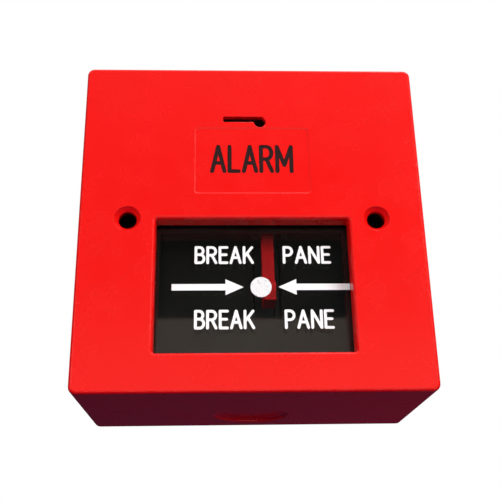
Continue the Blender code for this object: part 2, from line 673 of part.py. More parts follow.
def make_switch():
    body_right = SWITCH_RIGHT - SWITCH_LID - GAP
    bm = bmesh.new()
    add_box(bm, (SWITCH_LEFT, SWITCH_FRONT, SWITCH_BOTTOM), (body_right, SWITCH_BACK, SWITCH_TOP))
    body = make("switch_body", bm, "black_abs")
    bm = bmesh.new()
    lid_left = body_right + GAP
    add_box(bm, (lid_left, SWITCH_FRONT, SWITCH_BOTTOM), (SWITCH_RIGHT, SWITCH_BACK, SWITCH_TOP))
    lid = make("switch_lid", bm, "black_abs")
    stem_low = Vector((LEVER_X - 0.8 * MM, PLUNGER_FRONT, PLUNGER_Z - 0.9 * MM))
    stem_high = Vector((LEVER_X + 0.8 * MM, SWITCH_FRONT + 3 * MM, PLUNGER_Z + 0.9 * MM))
    around = Vector((GAP, 0, GAP))
    pocket_end = Vector((0, 2 * MM, 0))
    cut_boxes(body, [(stem_low - around, stem_high + around + pocket_end)])
    pockets = []
    for z in TAB_Z:
        low = (LEVER_X - 0.6 * MM, SWITCH_BACK - 2 * MM, z - 1.7 * MM)
        pockets.append((low, (LEVER_X + 0.6 * MM, SWITCH_BACK + OUT, z + 1.7 * MM)))
    cut_boxes(body, pockets)
    for piece in (body, lid):
        start = SWITCH_LEFT - OUT
        holes = [("X", (start, SWITCH_SCREW_Y, z), 9 * MM, SWITCH_HOLE_RADIUS) for z in SWITCH_SCREW_Z]
        cut_rods(piece, holes)

    bm = bmesh.new()
    add_box(bm, stem_low, stem_high)
    tip = [e for e in bm.edges if all(abs(v.co.y - PLUNGER_FRONT) < GAP / 10 for v in e.verts)]
    bmesh.ops.bevel(bm, geom=tip, offset=0.4 * MM, segments=2, profile=0.5, affect="EDGES")
    make("switch_plunger", bm, "white_nylon", (LEVER_X, PLUNGER_FRONT, PLUNGER_Z))

    for z, label in zip(TAB_Z, ("common", "normally_open", "normally_closed")):
        bm = bmesh.new()
        low = (LEVER_X - 0.25 * MM, SWITCH_BACK - 1.7 * MM, z - 1.4 * MM)
        add_box(bm, low, (LEVER_X + 0.25 * MM, TAB_END, z + 1.4 * MM))
        tab = make(f"switch_tab_{label}", bm, "tinned_brass", (LEVER_X, SWITCH_BACK, z))
        cut_rods(tab, [("X", (LEVER_X - OUT, TAB_END - 1.5 * MM, z), 2 * MM, 0.6 * MM)])
    for number, z in enumerate(SWITCH_SCREW_Z, 1):
        seat = (SWITCH_LEFT - GAP, SWITCH_SCREW_Y, z)
        make_screw(f"switch_screw_{number}", "X", seat, *SWITCH_SCREW, False)


def make_terminal_block():
    floor = FLOOR_BACK + GAP
    middle = (BLOCK_TOP + BLOCK_BOTTOM) / 2
    bm = bmesh.new()
    add_box(bm, (BLOCK_LEFT, floor, BLOCK_BOTTOM), (BLOCK_RIGHT, BLOCK_BACK, BLOCK_TOP))
    block = make("terminal_block", bm, "grey_nylon")
    lugs = bmesh.new()
    low = (BLOCK_LEFT - LUG, floor, middle - LUG_HALF_HEIGHT)
    add_box(lugs, low, (BLOCK_RIGHT + LUG, floor + LUG_THICKNESS, middle + LUG_HALF_HEIGHT))
    combine(block, lugs, "UNION")
    pockets = []
    ways = []
    wells = []
    for x in POLE_X:
        low = (x - POCKET_HALF_WIDTH, POCKET_FRONT, BLOCK_BOTTOM - OUT)
        pockets.append((low, (x + POCKET_HALF_WIDTH, POCKET_BACK, POCKET_TOP)))
        low = (x - WIRE_WAY_HALF_WIDTH, WIRE_WAY[0], WIRE_WAY_BOTTOM)
        ways.append((low, (x + WIRE_WAY_HALF_WIDTH, WIRE_WAY[1], BLOCK_TOP + OUT)))
        wells.append(("Y", (x, POCKET_BACK - 1.2 * MM, middle), 4 * MM, CLAMP_WELL_RADIUS))
    cut_boxes(block, pockets)
    cut_boxes(block, ways)
    for x in (BLOCK_LEFT - LUG / 2, BLOCK_RIGHT + LUG / 2):
        wells.append(("Y", (x, floor - OUT, middle), 6 * MM, LUG_HOLE_RADIUS))
    cut_rods(block, wells)
    for number, x in enumerate(POLE_X, 1):
        bm = bmesh.new()
        low = (x - CAGE_HALF_WIDTH, CAGE_FRONT, middle - CAGE_HALF_HEIGHT)
        add_box(bm, low, (x + CAGE_HALF_WIDTH, CAGE_BACK, middle + CAGE_HALF_HEIGHT))
        cage = make(f"clamp_cage_{number}", bm, "brass", (x, (CAGE_FRONT + CAGE_BACK) / 2, middle))
        reach = CAGE_HALF_HEIGHT + OUT
        low = (x - CAGE_MOUTH_HALF_WIDTH, CAGE_MOUTH[0], middle - reach)
        cut_boxes(cage, [(low, (x + CAGE_MOUTH_HALF_WIDTH, CAGE_MOUTH[1], middle + reach))])
        cut_rods(cage, [("Y", (x, CAGE_MOUTH[1] - 0.9 * MM, middle), 4 * MM, CAGE_THREAD_RADIUS)])
        seat = (x, CLAMP_SEAT, middle)
        make_screw(f"clamp_screw_{number}", "Y", seat, *CLAMP_SCREW, True)
    for label, x in (("left", BLOCK_LEFT - LUG / 2), ("right", BLOCK_RIGHT + LUG / 2)):
        seat = (x, floor + LUG_THICKNESS + GAP, middle)
        make_screw(f"block_screw_{label}", "Y", seat, *BLOCK_SCREW, True)


def smooth_route(points, steps=4):
    """Points along a Catmull-Rom curve through the route's own points, given in millimetres."""
    route = [Vector(p) * MM for p in points]
    route = [2 * route[0] - route[1], *route, 2 * route[-1] - route[-2]]
    line = []
    for a, b, c, d in zip(route, route[1:], route[2:], route[3:]):
        for i in range(steps):
            t = i / steps
            bend = (2 * a - 5 * b + 4 * c - d) * t**2 + (3 * b - a - 3 * c + d) * t**3
            line.append(0.5 * (2 * b + (c - a) * t + bend))
    line.append(route[-2])
    return line


def make_wires():
    """Three hook-up wires, from the switch's tabs to the first three poles on the switch's side."""
    tab = TAB_END / MM + 0.9
    routes = {
        "wire_common": ("red_pvc", 3, TAB_Z[0] / MM, (1.5, -6.6, 1.5), (-5, -9.5, 4.5)),
        "wire_normally_open": ("black_pvc", 2, TAB_Z[1] / MM, (1.0, -5.6, -4.5), (-8.5, -7.2, 3.0)),
        "wire_normally_closed": ("blue_pvc", 1, TAB_Z[2] / MM, (0.0, -5.0, -11.5), (-13, -5.6, -0.5)),
    }
    for name, (finish, pole, z, first, second) in routes.items():
        x = POLE_X[pole] / MM
        way = WIRE_WAY_Y / MM
        points = [(LEVER_X / MM, tab, z), first, second, (x, -15.5, 1.6), (x, way, -2.8), (x, way, -10)]
        curve = tube_curve(name, smooth_route(points), WIRE_RADIUS, bevel_resolution=2)
        place(name, curve, finish)


def make_test_slide():
    """A strip behind the key slot. A key pushes it down, and its nose stops just above the lever's heel."""
    front = FRONT_INNER + GAP
    back = front + SLIDE_THICKNESS
    bm = bmesh.new()
    add_box(bm, (SLIDE_LEFT, front, SLIDE_BOTTOM), (SLIDE_RIGHT, back, SLIDE_TOP))
    slide = make("test_slide", bm, "white_nylon", (LEVER_X, front, SLIDE_BOTTOM))
    nose = bmesh.new()
    low = (LEVER_X - LEVER_WIDTH / 2, back - OUT, SLIDE_BOTTOM)
    add_box(nose, low, (LEVER_X + LEVER_WIDTH / 2, PIVOT_Y - 3.2 * MM, SLIDE_BOTTOM + 2 * MM))
    combine(slide, nose, "UNION")
    wire = 0.22 * MM
    bottom = WINDOW_TOP + LIP_WALL + GAP + wire
    length = SLIDE_BOTTOM - GAP - wire - bottom
    middle = (KEY_HOLE_X, FRONT_INNER + 1.3 * MM, bottom)
    curve = tube_curve("slide_spring", helix("Z", (0, 0, 0), length, 0.8 * MM, 4), wire)
    place("slide_spring", curve, "spring_steel", middle)


def main():
    clear_scene()
    assembly = bpy.data.objects.new("call_point", None)
    bpy.context.scene.collection.objects.link(assembly)
    make_front_cover()
    make_base_plate()
    make_cover_fixings()
    make_pane_group()
    make_chassis()
    make_chassis_screws()
    make_pane_springs()
    make_lever()
    make_lever_pin()
    make_lever_spring()
    make_switch()
    make_terminal_block()
    make_wires()
    make_test_slide()


main()
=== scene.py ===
# %% [markdown]
# # A manual call point, piece by piece
# This lesson dresses a fixed CAD model of a manual call point: a red box on a wall, with a pane that is
# pressed to raise the alarm. The CAD model gives every size. Each cell makes one piece or one finish and
# says why it is made so.

import math
import random

import bmesh
import bpy
from mathutils import Matrix, Vector


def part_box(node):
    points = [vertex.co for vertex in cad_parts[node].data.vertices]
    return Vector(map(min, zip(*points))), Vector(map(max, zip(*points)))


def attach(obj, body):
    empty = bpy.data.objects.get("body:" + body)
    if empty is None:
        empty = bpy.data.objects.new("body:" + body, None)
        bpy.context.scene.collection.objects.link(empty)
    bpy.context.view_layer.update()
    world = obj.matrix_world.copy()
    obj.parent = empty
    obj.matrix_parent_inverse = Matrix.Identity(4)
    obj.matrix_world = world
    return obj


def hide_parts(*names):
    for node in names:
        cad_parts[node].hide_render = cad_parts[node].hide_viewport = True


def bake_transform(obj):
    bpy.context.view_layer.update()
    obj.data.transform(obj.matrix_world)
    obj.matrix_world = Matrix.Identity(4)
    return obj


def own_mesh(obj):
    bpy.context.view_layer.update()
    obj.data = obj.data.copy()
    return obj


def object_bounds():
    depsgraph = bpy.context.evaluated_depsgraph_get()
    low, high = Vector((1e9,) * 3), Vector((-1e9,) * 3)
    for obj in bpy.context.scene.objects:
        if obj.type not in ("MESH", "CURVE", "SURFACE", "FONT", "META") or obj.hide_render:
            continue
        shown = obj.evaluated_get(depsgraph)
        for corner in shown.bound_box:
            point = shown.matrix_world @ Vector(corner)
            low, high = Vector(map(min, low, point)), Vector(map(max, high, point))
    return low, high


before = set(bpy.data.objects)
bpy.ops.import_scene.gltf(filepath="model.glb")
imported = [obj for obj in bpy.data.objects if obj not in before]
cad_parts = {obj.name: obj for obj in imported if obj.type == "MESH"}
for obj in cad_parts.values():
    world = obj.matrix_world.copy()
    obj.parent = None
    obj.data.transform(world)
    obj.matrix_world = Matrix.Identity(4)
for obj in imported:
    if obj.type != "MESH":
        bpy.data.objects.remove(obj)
cad_low, cad_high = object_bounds()
print("CAD box", [round(v, 4) for v in (*cad_low, *cad_high)])

MM = 0.001
FRONT = cad_low.y
LEFT_FACE, RIGHT_FACE = cad_low.x, cad_high.x
BOTTOM_FACE, TOP_FACE = cad_low.z, cad_high.z
random.seed(11)

# %% [markdown]
# ## Colour and node helpers
# Colours are written as the hex values that a paint chart gives, and one function turns them into the
# linear values that the renderer adds up. One more function adds a node, sets it and links it, so a
# material reads like a list.

# %% Helpers for materials


def linear(code, alpha=1.0):
    """A hex colour such as D8120F as linear red, green and blue."""
    parts = [int(code[i : i + 2], 16) / 255 for i in (0, 2, 4)]
    return (*[p / 12.92 if p <= 0.04045 else ((p + 0.055) / 1.055) ** 2.4 for p in parts], alpha)


NOISE, RAMP, MATH = "ShaderNodeTexNoise", "ShaderNodeValToRGB", "ShaderNodeMath"


def add_node(tree, kind, inputs=None, stops=(), **settings):
    """Adds a node. An input is a value or another node's output. A ramp takes (position, colour) stops."""
    node = tree.nodes.new(kind)
    for name, value in settings.items():
        setattr(node, name, value)
    for name, value in (inputs or {}).items():
        if isinstance(value, bpy.types.NodeSocket):
            tree.links.new(value, node.inputs[name])
        else:
            node.inputs[name].default_value = value
    for i, (position, colour) in enumerate(stops):
        element = node.color_ramp.elements[i] if i < 2 else node.color_ramp.elements.new(position)
        element.position = position
        element.color = colour
    return node


def new_material(name):
    """An empty material: its node tree, its output and the piece's own coordinates in metres."""
    material = bpy.data.materials.new(name)
    material.use_nodes = True
    tree = material.node_tree
    tree.nodes.clear()
    output = add_node(tree, "ShaderNodeOutputMaterial")
    place = add_node(tree, "ShaderNodeTexCoord").outputs["Object"]
    return material, tree, output, place


# %% [markdown]
# ## Moulded plastics
# Most of the object is injection-moulded. Such a surface is even in colour, but it carries a faint orange
# peel from the mould, cloudy patches where fingers have been, and a little dust. Those are what tell the
# eye that it is plastic. So every plastic here comes from one recipe with its own colour, gloss and grain.
# In the two deep screw wells of the cover the red is painted near black, as painted shade in the bores.

# %% Moulded plastic

CLOUD_SIZE = 18 * MM  # patches of slightly different colour
SMUDGE_SIZE = 7 * MM  # patches of slightly different gloss, the size of a finger tip
DUSTY_PATCH = 9 * MM
DUST_SPACING = 2.2 * MM
DUST_SIZE = 0.045  # radius of a speck as a share of the spacing, drawn as coarse as it needs to show
DUST_SHARE = 0.25


def well_dirt(tree, place, colour, well_x, radius, mouth, dark):
    """Painted shade in the two screw wells: the colour goes over to `dark` within 2 mm behind `mouth`."""
    x, y, z = add_node(tree, "ShaderNodeSeparateXYZ", {0: place}).outputs
    across = add_node(tree, "ShaderNodeMath", {0: x}, operation="ABSOLUTE").outputs[0]
    across = add_node(tree, "ShaderNodeMath", {0: across, 1: well_x}, operation="SUBTRACT").outputs[0]
    offset = add_node(tree, "ShaderNodeCombineXYZ", {"X": across, "Z": z}).outputs[0]
    distance = add_node(tree, "ShaderNodeVectorMath", {0: offset}, operation="LENGTH").outputs["Value"]
    inside = add_node(tree, "ShaderNodeMath", {0: distance, 1: radius}, operation="LESS_THAN").outputs[0]
    limits = {"Value": y, "From Min": mouth, "From Max": mouth + 2 * MM}
    depth = add_node(tree, "ShaderNodeMapRange", limits).outputs[0]
    share = add_node(tree, "ShaderNodeMath", {0: inside, 1: depth}, operation="MULTIPLY").outputs[0]
    return add_node(tree, "ShaderNodeMix", {0: share, 6: colour, 7: linear(dark)}, data_type="RGBA").outputs[2]


def moulded_plastic(name, colour, darker, roughness, grain, grain_depth, dust="B9A9A0", ior=1.53, well_shade=None):
    """Plastic from a mould: `grain` is the size of its texture and `grain_depth` its height, both in metres."""
    material, tree, output, place = new_material(name)
    clouds = add_node(tree, NOISE, {"Vector": place, "Scale": 1 / CLOUD_SIZE, "Detail": 4}).outputs["Fac"]
    stops = [(0.3, linear(darker)), (0.7, linear(colour))]
    base = add_node(tree, RAMP, {"Fac": clouds}, stops).outputs["Color"]
    cells = {"Vector": place, "Scale": 1 / DUST_SPACING}
    specks = add_node(tree, "ShaderNodeTexVoronoi", cells).outputs["Distance"]
    dots = add_node(tree, "ShaderNodeMath", {0: specks, 1: DUST_SIZE}, operation="LESS_THAN").outputs[0]
    spots = add_node(tree, NOISE, {"Vector": place, "Scale": 1 / DUSTY_PATCH, "Detail": 2}).outputs["Fac"]
    stops = [(0.52, (0, 0, 0, 1)), (0.6, (1, 1, 1, 1))]
    patches = add_node(tree, RAMP, {"Fac": spots}, stops).outputs["Color"]
    seen = add_node(tree, "ShaderNodeMath", {0: dots, 1: patches}, operation="MULTIPLY").outputs[0]
    share = add_node(tree, "ShaderNodeMath", {0: seen, 1: DUST_SHARE}, operation="MULTIPLY").outputs[0]
    colour = add_node(tree, "ShaderNodeMix", {0: share, 6: base, 7: linear(dust)}, data_type="RGBA").outputs[2]
    # The screw wells get a painted shade: their red goes near black behind the mouth.
    if well_shade:
        colour = well_dirt(tree, place, colour, *well_shade)
    smudges = add_node(tree, NOISE, {"Vector": place, "Scale": 1 / SMUDGE_SIZE, "Detail": 5}).outputs["Fac"]
    spread = {"From Min": 0.2, "From Max": 0.8, "To Min": roughness - 0.06, "To Max": roughness + 0.06}
    rough = add_node(tree, "ShaderNodeMapRange", {"Value": smudges, **spread})
    texture = add_node(tree, NOISE, {"Vector": place, "Scale": 1 / grain, "Detail": 3}).outputs["Fac"]
    bump = add_node(tree, "ShaderNodeBump", {"Height": texture, "Strength": 0.6, "Distance": grain_depth})
    shader = add_node(
        tree,
        "ShaderNodeBsdfPrincipled",
        {
            "Base Color": colour,
            "Roughness": rough.outputs[0],
            "IOR": ior,
            "Normal": bump.outputs[0],
        },
    )
    tree.links.new(shader.outputs[0], output.inputs["Surface"])
    return material


WELL_X = 31 * MM
# Painted shade for the screw wells: their red goes near black within 2 mm behind the mouth.
WELL_SHADE = (WELL_X, 2.5 * MM, FRONT + 1 * MM, "1A0203")
GLOSS_RED = moulded_plastic(
    "gloss_moulded_red_ABS", "E80E0B", "E50E0B", 0.26, 1.4 * MM, 0.006 * MM, well_shade=WELL_SHADE
)
DULL_RED = moulded_plastic("spark_textured_red_ABS", "D8120E", "CF100D", 0.5, 0.5 * MM, 0.02 * MM)
LEVER_RED = moulded_plastic("moulded_red_nylon", "DC1A22", "D0161E", 0.38, 0.8 * MM, 0.008 * MM)
BLACK_ABS = moulded_plastic("matt_moulded_black_ABS", "161718", "101112", 0.48, 0.45 * MM, 0.015 * MM, "6E6A66")
BLACK_CASE = moulded_plastic("moulded_black_switch_case", "1B1B1D", "141416", 0.42, 0.6 * MM, 0.01 * MM, "6E6A66")
RUBBER = moulded_plastic("moulded_black_rubber", "151515", "0E0E0E", 0.75, 0.3 * MM, 0.01 * MM, "5A5754", 1.52)
GREY_NYLON = moulded_plastic("moulded_grey_polyamide", "8F9394", "858A8B", 0.42, 0.7 * MM, 0.008 * MM, "CFCBC4")
WHITE_ACETAL = moulded_plastic(
    "moulded_white_acetal", "E4E3DA", "DAD8CE", 0.34, 0.9 * MM, 0.005 * MM, "9C968C", 1.48
)
print("plastics", len(bpy.data.materials))

# %% [markdown]
# ## Metals
# Zinc plating is thin and bright with a faint blue and yellow cast that drifts over a few millimetres.
# Drawn spring wire is darker and has fine lines along it. Brass is warm, and tin makes it grey. All of them
# keep the plain metal settings: the colour is the reflectance, and roughness says how finely the surface
# was worked.

# %% Worked metal


def worked_metal(name, light, dark, roughness, lines=(1, 1, 1)):
    """Metal whose tarnish drifts over 2 mm and whose tool marks are 0.15 mm apart, which is coarser than real."""
    material, tree, output, place = new_material(name)
    tarnish = add_node(tree, NOISE, {"Vector": place, "Scale": 1 / (2 * MM), "Detail": 4}).outputs["Fac"]
    stops = [(0.3, linear(dark)), (0.65, linear(light))]
    base = add_node(tree, RAMP, {"Fac": tarnish}, stops).outputs["Color"]
    drawn = add_node(tree, "ShaderNodeMapping", {"Vector": place, "Scale": lines}).outputs[0]
    marks = add_node(tree, NOISE, {"Vector": drawn, "Scale": 1 / (0.15 * MM), "Detail": 2}).outputs["Fac"]
    spread = {"From Min": 0.3, "From Max": 0.7, "To Min": roughness - 0.06, "To Max": roughness + 0.1}
    rough = add_node(tree, "ShaderNodeMapRange", {"Value": marks, **spread})
    bump = add_node(tree, "ShaderNodeBump", {"Height": marks, "Strength": 0.4, "Distance": 0.004 * MM})
    shader = add_node(
        tree,
        "ShaderNodeBsdfPrincipled",
        {"Base Color": base, "Metallic": 1.0, "Roughness": rough.outputs[0], "Normal": bump.outputs[0]},
    )
    tree.links.new(shader.outputs[0], output.inputs["Surface"])
    return material


ZINC = worked_metal("bright_zinc_plated_steel", "C9CCD0", "A9AAA4", 0.3)
SPRING_STEEL = worked_metal("drawn_spring_steel_wire", "A3A19C", "6F6D69", 0.32, (1, 1, 0.2))
BRASS = worked_metal("turned_brass", "D9B267", "B48A43", 0.28)
TINNED = worked_metal("tinned_brass_blade", "C5C2B8", "A19D92", 0.34, (1, 0.15, 1))
COPPER = worked_metal("tinned_copper_strand", "CFC6B8", "B08E74", 0.32, (1, 0.3, 1))

# %% [markdown]
# ## Glass, ink and paint
# The pane is 2 mm float glass. Lamps must reach the lever behind it, so for shadow rays the glass is simply
# clear, and for every other ray it is a thin mirror by Fresnel and otherwise clear with a trace of green.
# The printing on it is screen-printed ink: flat, nearly white, and slightly uneven where the squeegee left
# less of it. The letters in the red label are cut into the mould and filled with black paint.

# %% Glass and printing


def float_glass():
    """Thin clear glass with a film of dust that blurs its reflection in patches."""
    material, tree, output, place = new_material("float_glass_with_dust")
    dust = add_node(tree, NOISE, {"Vector": place, "Scale": 1 / (5 * MM), "Detail": 6}).outputs["Fac"]
    spread = {"From Min": 0.5, "From Max": 0.8, "To Min": 0.02, "To Max": 0.09}
    film = add_node(tree, "ShaderNodeMapRange", {"Value": dust, **spread})
    clear = add_node(tree, "ShaderNodeBsdfTransparent", {"Color": linear("F4F9F6")})
    mirror = add_node(tree, "ShaderNodeBsdfGlossy", {"Color": (1, 1, 1, 1), "Roughness": film.outputs[0]})
    facing = add_node(tree, "ShaderNodeFresnel", {"IOR": 1.52})
    sides = {0: facing.outputs[0], 1: clear.outputs[0], 2: mirror.outputs[0]}
    pane = add_node(tree, "ShaderNodeMixShader", sides)
    lamp = add_node(tree, "ShaderNodeLightPath").outputs["Is Shadow Ray"]
    open_to_lamps = add_node(tree, "ShaderNodeMixShader", {0: lamp, 1: pane.outputs[0], 2: clear.outputs[0]})
    tree.links.new(open_to_lamps.outputs[0], output.inputs["Surface"])
    return material


def printed(name, colour, thin, roughness, worn):
    """Ink or paint. Where the noise is above `worn`, less of it was left."""
    material, tree, output, place = new_material(name)
    grain = add_node(tree, NOISE, {"Vector": place, "Scale": 1 / (0.35 * MM), "Detail": 3}).outputs["Fac"]
    stops = [(worn, linear(colour)), (worn + 0.08, linear(thin))]
    base = add_node(tree, RAMP, {"Fac": grain}, stops).outputs["Color"]
    bump = add_node(tree, "ShaderNodeBump", {"Height": grain, "Strength": 0.5, "Distance": 0.01 * MM})
    shader = add_node(
        tree,
        "ShaderNodeBsdfPrincipled",
        {"Base Color": base, "Roughness": roughness, "IOR": 1.5, "Normal": bump.outputs[0]},
    )
    tree.links.new(shader.outputs[0], output.inputs["Surface"])
    return material


FLOAT_GLASS = float_glass()
WHITE_INK = printed("screen_printed_white_ink", "F6FAFD", "D6DBDF", 0.5, 0.68)
BLACK_PAINT = printed("filled_black_paint", "1C0A0B", "3F1013", 0.6, 0.55)

# %% [markdown]
# ## Wire insulation
# PVC insulation is drawn over the wire through a round die, which leaves it smooth with a soft gloss and
# very fine lines along its length. Colour codes the wire.

# %% Extruded insulation


def extruded_pvc(name, colour):
    """Wire insulation, a little paler where it was rubbed."""
    material, tree, output, place = new_material(name)
    scuffs = add_node(tree, NOISE, {"Vector": place, "Scale": 1 / (1.2 * MM), "Detail": 4}).outputs["Fac"]
    bright = [min(1, c * 1.25) for c in linear(colour)[:3]]
    stops = [(0.35, linear(colour)), (0.75, (*bright, 1))]
    base = add_node(tree, RAMP, {"Fac": scuffs}, stops).outputs["Color"]
    bump = add_node(tree, "ShaderNodeBump", {"Height": scuffs, "Strength": 0.3, "Distance": 0.01 * MM})
    rough = add_node(tree, "ShaderNodeMapRange", {"Value": scuffs, "To Min": 0.34, "To Max": 0.52})
    shader = add_node(
        tree,
        "ShaderNodeBsdfPrincipled",
        {"Base Color": base, "Roughness": rough.outputs[0], "IOR": 1.54, "Normal": bump.outputs[0]},
    )
    tree.links.new(shader.outputs[0], output.inputs["Surface"])
    return material


PVC = {
    "wire_common": (extruded_pvc("extruded_red_PVC", "B01512"), "red_pvc"),
    "wire_normally_open": (extruded_pvc("extruded_black_PVC", "1A1A1B"), "black_pvc"),
    "wire_normally_closed": (extruded_pvc("extruded_blue_PVC", "1D4C9E"), "blue_pvc"),
}

# %% [markdown]
# ## Shape helpers
# Moulded pieces have soft edges everywhere, because a sharp edge would chip and would not leave the mould.
# The helpers build rings of points and skin them, so a radius can be given to each edge on its own. Boolean
# operations join and cut these solids, and a weighted normal at the end keeps large faces flat beside their
# rounded edges.

# %% Helpers for shapes

ARC_STEPS = 6


def rounded_ring(low, high, radius):
    """Points of a rounded rectangle in X and Z, anticlockwise seen from the front."""
    (x0, z0), (x1, z1) = low, high
    points = []
    right, left, top, bottom = x1 - radius, x0 + radius, z1 - radius, z0 + radius
    for turn, (x, z) in enumerate(((right, top), (left, top), (left, bottom), (right, bottom))):
        for i in range(ARC_STEPS + 1):
            angle = (turn + i / ARC_STEPS) * math.pi / 2
            points.append((x + radius * math.cos(angle), z + radius * math.sin(angle)))
    return points


def skin(bm, rings, turn=None):
    """Joins rings of points with faces and closes both ends. The result is one closed body."""
    made = []
    for ring in rings:
        made.append([bm.verts.new(turn @ Vector(p) if turn else p) for p in ring])
    for a, b in zip(made, made[1:]):
        for i in range(len(a)):
            j = (i + 1) % len(a)
            bm.faces.new((a[i], a[j], b[j], b[i]))
    bm.faces.new(made[0])
    bm.faces.new(list(reversed(made[-1])))
    bmesh.ops.recalc_face_normals(bm, faces=bm.faces)


def block(bm, low, high, corner, levels):
    """A block along Y. Each level is (y, inset): how far the outline draws in at that depth."""
    rings = []
    for y, inset in levels:
        near, far = (low[0] + inset, low[1] + inset), (high[0] - inset, high[1] - inset)
        ring = rounded_ring(near, far, max(corner - inset, 0.02 * MM))
        rings.append([(x, y, z) for x, z in ring])
    skin(bm, rings)


def round_over(front, radius):
    """Levels of a rounded edge that starts at `front` and runs back along Y."""
    angles = [i / ARC_STEPS * math.pi / 2 for i in range(ARC_STEPS + 1)]
    return [(front + radius * (1 - math.cos(a)), radius * (1 - math.sin(a))) for a in angles]


def turned(bm, axis, start, profile, sides=48):
    """A lathe-turned body from (distance along the axis, radius) points."""
    along = {"X": "Y", "Y": "X", "Z": "Z"}[axis]
    angle = {"X": math.pi / 2, "Y": -math.pi / 2, "Z": 0}[axis]
    turn = Matrix.Translation(Vector(start)) @ Matrix.Rotation(angle, 4, along)
    rings = []
    for distance, radius in profile:
        steps = [2 * math.pi * i / sides for i in range(sides)]
        rings.append([(radius * math.cos(a), radius * math.sin(a), distance) for a in steps])
    skin(bm, rings, turn)


def prism(bm, outline, front, back):
    """A flat outline in X and Z, given thickness along Y."""
    skin(bm, [[(x, y, z) for x, z in outline] for y in (front, back)])


def to_object(name, bm):
    """An object in the scene from a bmesh, which is used up."""
    mesh = bpy.data.meshes.new(name)
    bm.to_mesh(mesh)
    bm.free()
    made = bpy.data.objects.new(name, mesh)
    bpy.context.scene.collection.objects.link(made)
    return made


def baked(made):
    """Turns an object with modifiers into a plain mesh."""
    graph = bpy.context.evaluated_depsgraph_get()
    mesh = bpy.data.meshes.new_from_object(made.evaluated_get(graph))
    made.modifiers.clear()
    made.data = mesh
    return made


def combine(target, tools, operation):
    """Joins each tool to the target, or cuts it away, one after the other."""
    for tool in tools:
        modifier = target.modifiers.new("combine", "BOOLEAN")
        modifier.operation = operation
        modifier.object = tool
        modifier.solver = "EXACT"
    bpy.context.view_layer.update()
    baked(target)
    for tool in tools:
        bpy.data.objects.remove(tool)
    return target


def tool(build, *arguments, **settings):
    """An object made by one of the shape helpers, for a Boolean."""
    bm = bmesh.new()
    build(bm, *arguments, **settings)
    return to_object("tool", bm)


def finish_piece(made, name, material, body, nodes=(), smooth=32, weighted=True):
    """Names the piece, smooths it, gives it its finish, ties it to its body and hides the CAD nodes it stands for."""
    made.name = made.data.name = name
    made.data.materials.clear()
    made.data.materials.append(material)
    made.data.polygons.foreach_set("material_index", [0] * len(made.data.polygons))
    made.data.shade_smooth()
    made.data.set_sharp_from_angle(angle=math.radians(smooth))
    if weighted:
        modifier = made.modifiers.new("flat_faces", "WEIGHTED_NORMAL")
        modifier.keep_sharp = True
        modifier.weight = 100
        bpy.context.view_layer.update()
        baked(made)
    if body:
        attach(made, body)
    if nodes:
        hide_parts(*nodes)
    triangles = sum(len(p.vertices) - 2 for p in made.data.polygons)
    print(f"{name}: {triangles} triangles")
    return made


# %% [markdown]
# ## Pieces refined from the CAD
# Many inner pieces already have the right shape in the CAD and lack only their softened edges. This helper
# copies such a node, merges its loose triangles into faces, and rounds every real edge by a tenth or two of
# a millimetre. The highlight along that edge is what makes a small moulding look moulded.

# %% Refine a CAD node


def refined(node, material, body, edge, segments=2, extra=None):
    """A copy of a CAD node with edges rounded by `edge`. `extra` may cut more into it first."""
    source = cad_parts[node]
    bm = bmesh.new()
    bm.from_mesh(source.data)
    bmesh.ops.remove_doubles(bm, verts=bm.verts, dist=0.002 * MM)
    bmesh.ops.dissolve_limit(bm, angle_limit=math.radians(2), verts=bm.verts, edges=bm.edges)
    made = to_object(node + "_detail", bm)
    if extra:
        made = extra(made)
    bevel = made.modifiers.new("soft_edges", "BEVEL")
    bevel.width = edge
    bevel.segments = segments
    bevel.limit_method = "ANGLE"
    bevel.angle_limit = math.radians(34)
    bevel.use_clamp_overlap = True
    bpy.context.view_layer.update()
    baked(made)
    return finish_piece(made, node + "_detail", material, body, [node])


# %% [markdown]
# ## The front cover
# The cover is one deep injection moulding, open at the back. It has the window for the pane, two deep wells
# for its screws, a slot for the test key, a shallow panel for the label and a knock-out for a conduit
# underneath. It is made as the mould would make it: an outer block less a hollow, plus the parts that stand
# inside, less each opening. Every opening is cut by a tool with a flared mouth, so its rim comes out
# rounded.

# %% The cover's shell

WALL = 2.5 * MM
CORNER = 1.8 * MM
FRONT_EDGE = 0.9 * MM
REAR_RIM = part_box("front_cover")[1].y
INSIDE = FRONT + WALL
OUT = 1 * MM  # how far a cutting tool stands out of the surface it cuts

shell = bmesh.new()
rear_edge = [(REAR_RIM - 0.2 * MM, 0), (REAR_RIM, 0.2 * MM)]
levels = round_over(FRONT, FRONT_EDGE) + rear_edge
block(shell, (LEFT_FACE, BOTTOM_FACE), (RIGHT_FACE, TOP_FACE), CORNER, levels)
cover = to_object("cover", shell)
hollow = [(INSIDE, 0.5 * MM), (INSIDE + 0.15 * MM, 0.15 * MM), (INSIDE + 0.5 * MM, 0), (OUT, 0)]
low, high = (LEFT_FACE + WALL, BOTTOM_FACE + WALL), (RIGHT_FACE - WALL, TOP_FACE - WALL)
combine(cover, [tool(block, low, high, 1 * MM, hollow)], "DIFFERENCE")
print("shell walls", WALL / MM, "mm")

# %% [markdown]
# ## What stands inside the cover
# A lip runs round the window and holds the gasket. The wells and the bosses are plain posts, and two hooked
# rails guide the test slide. They all grow out of the front wall, so each starts inside it and the join
# leaves no gap.

# %% Lip, wells, bosses and rails

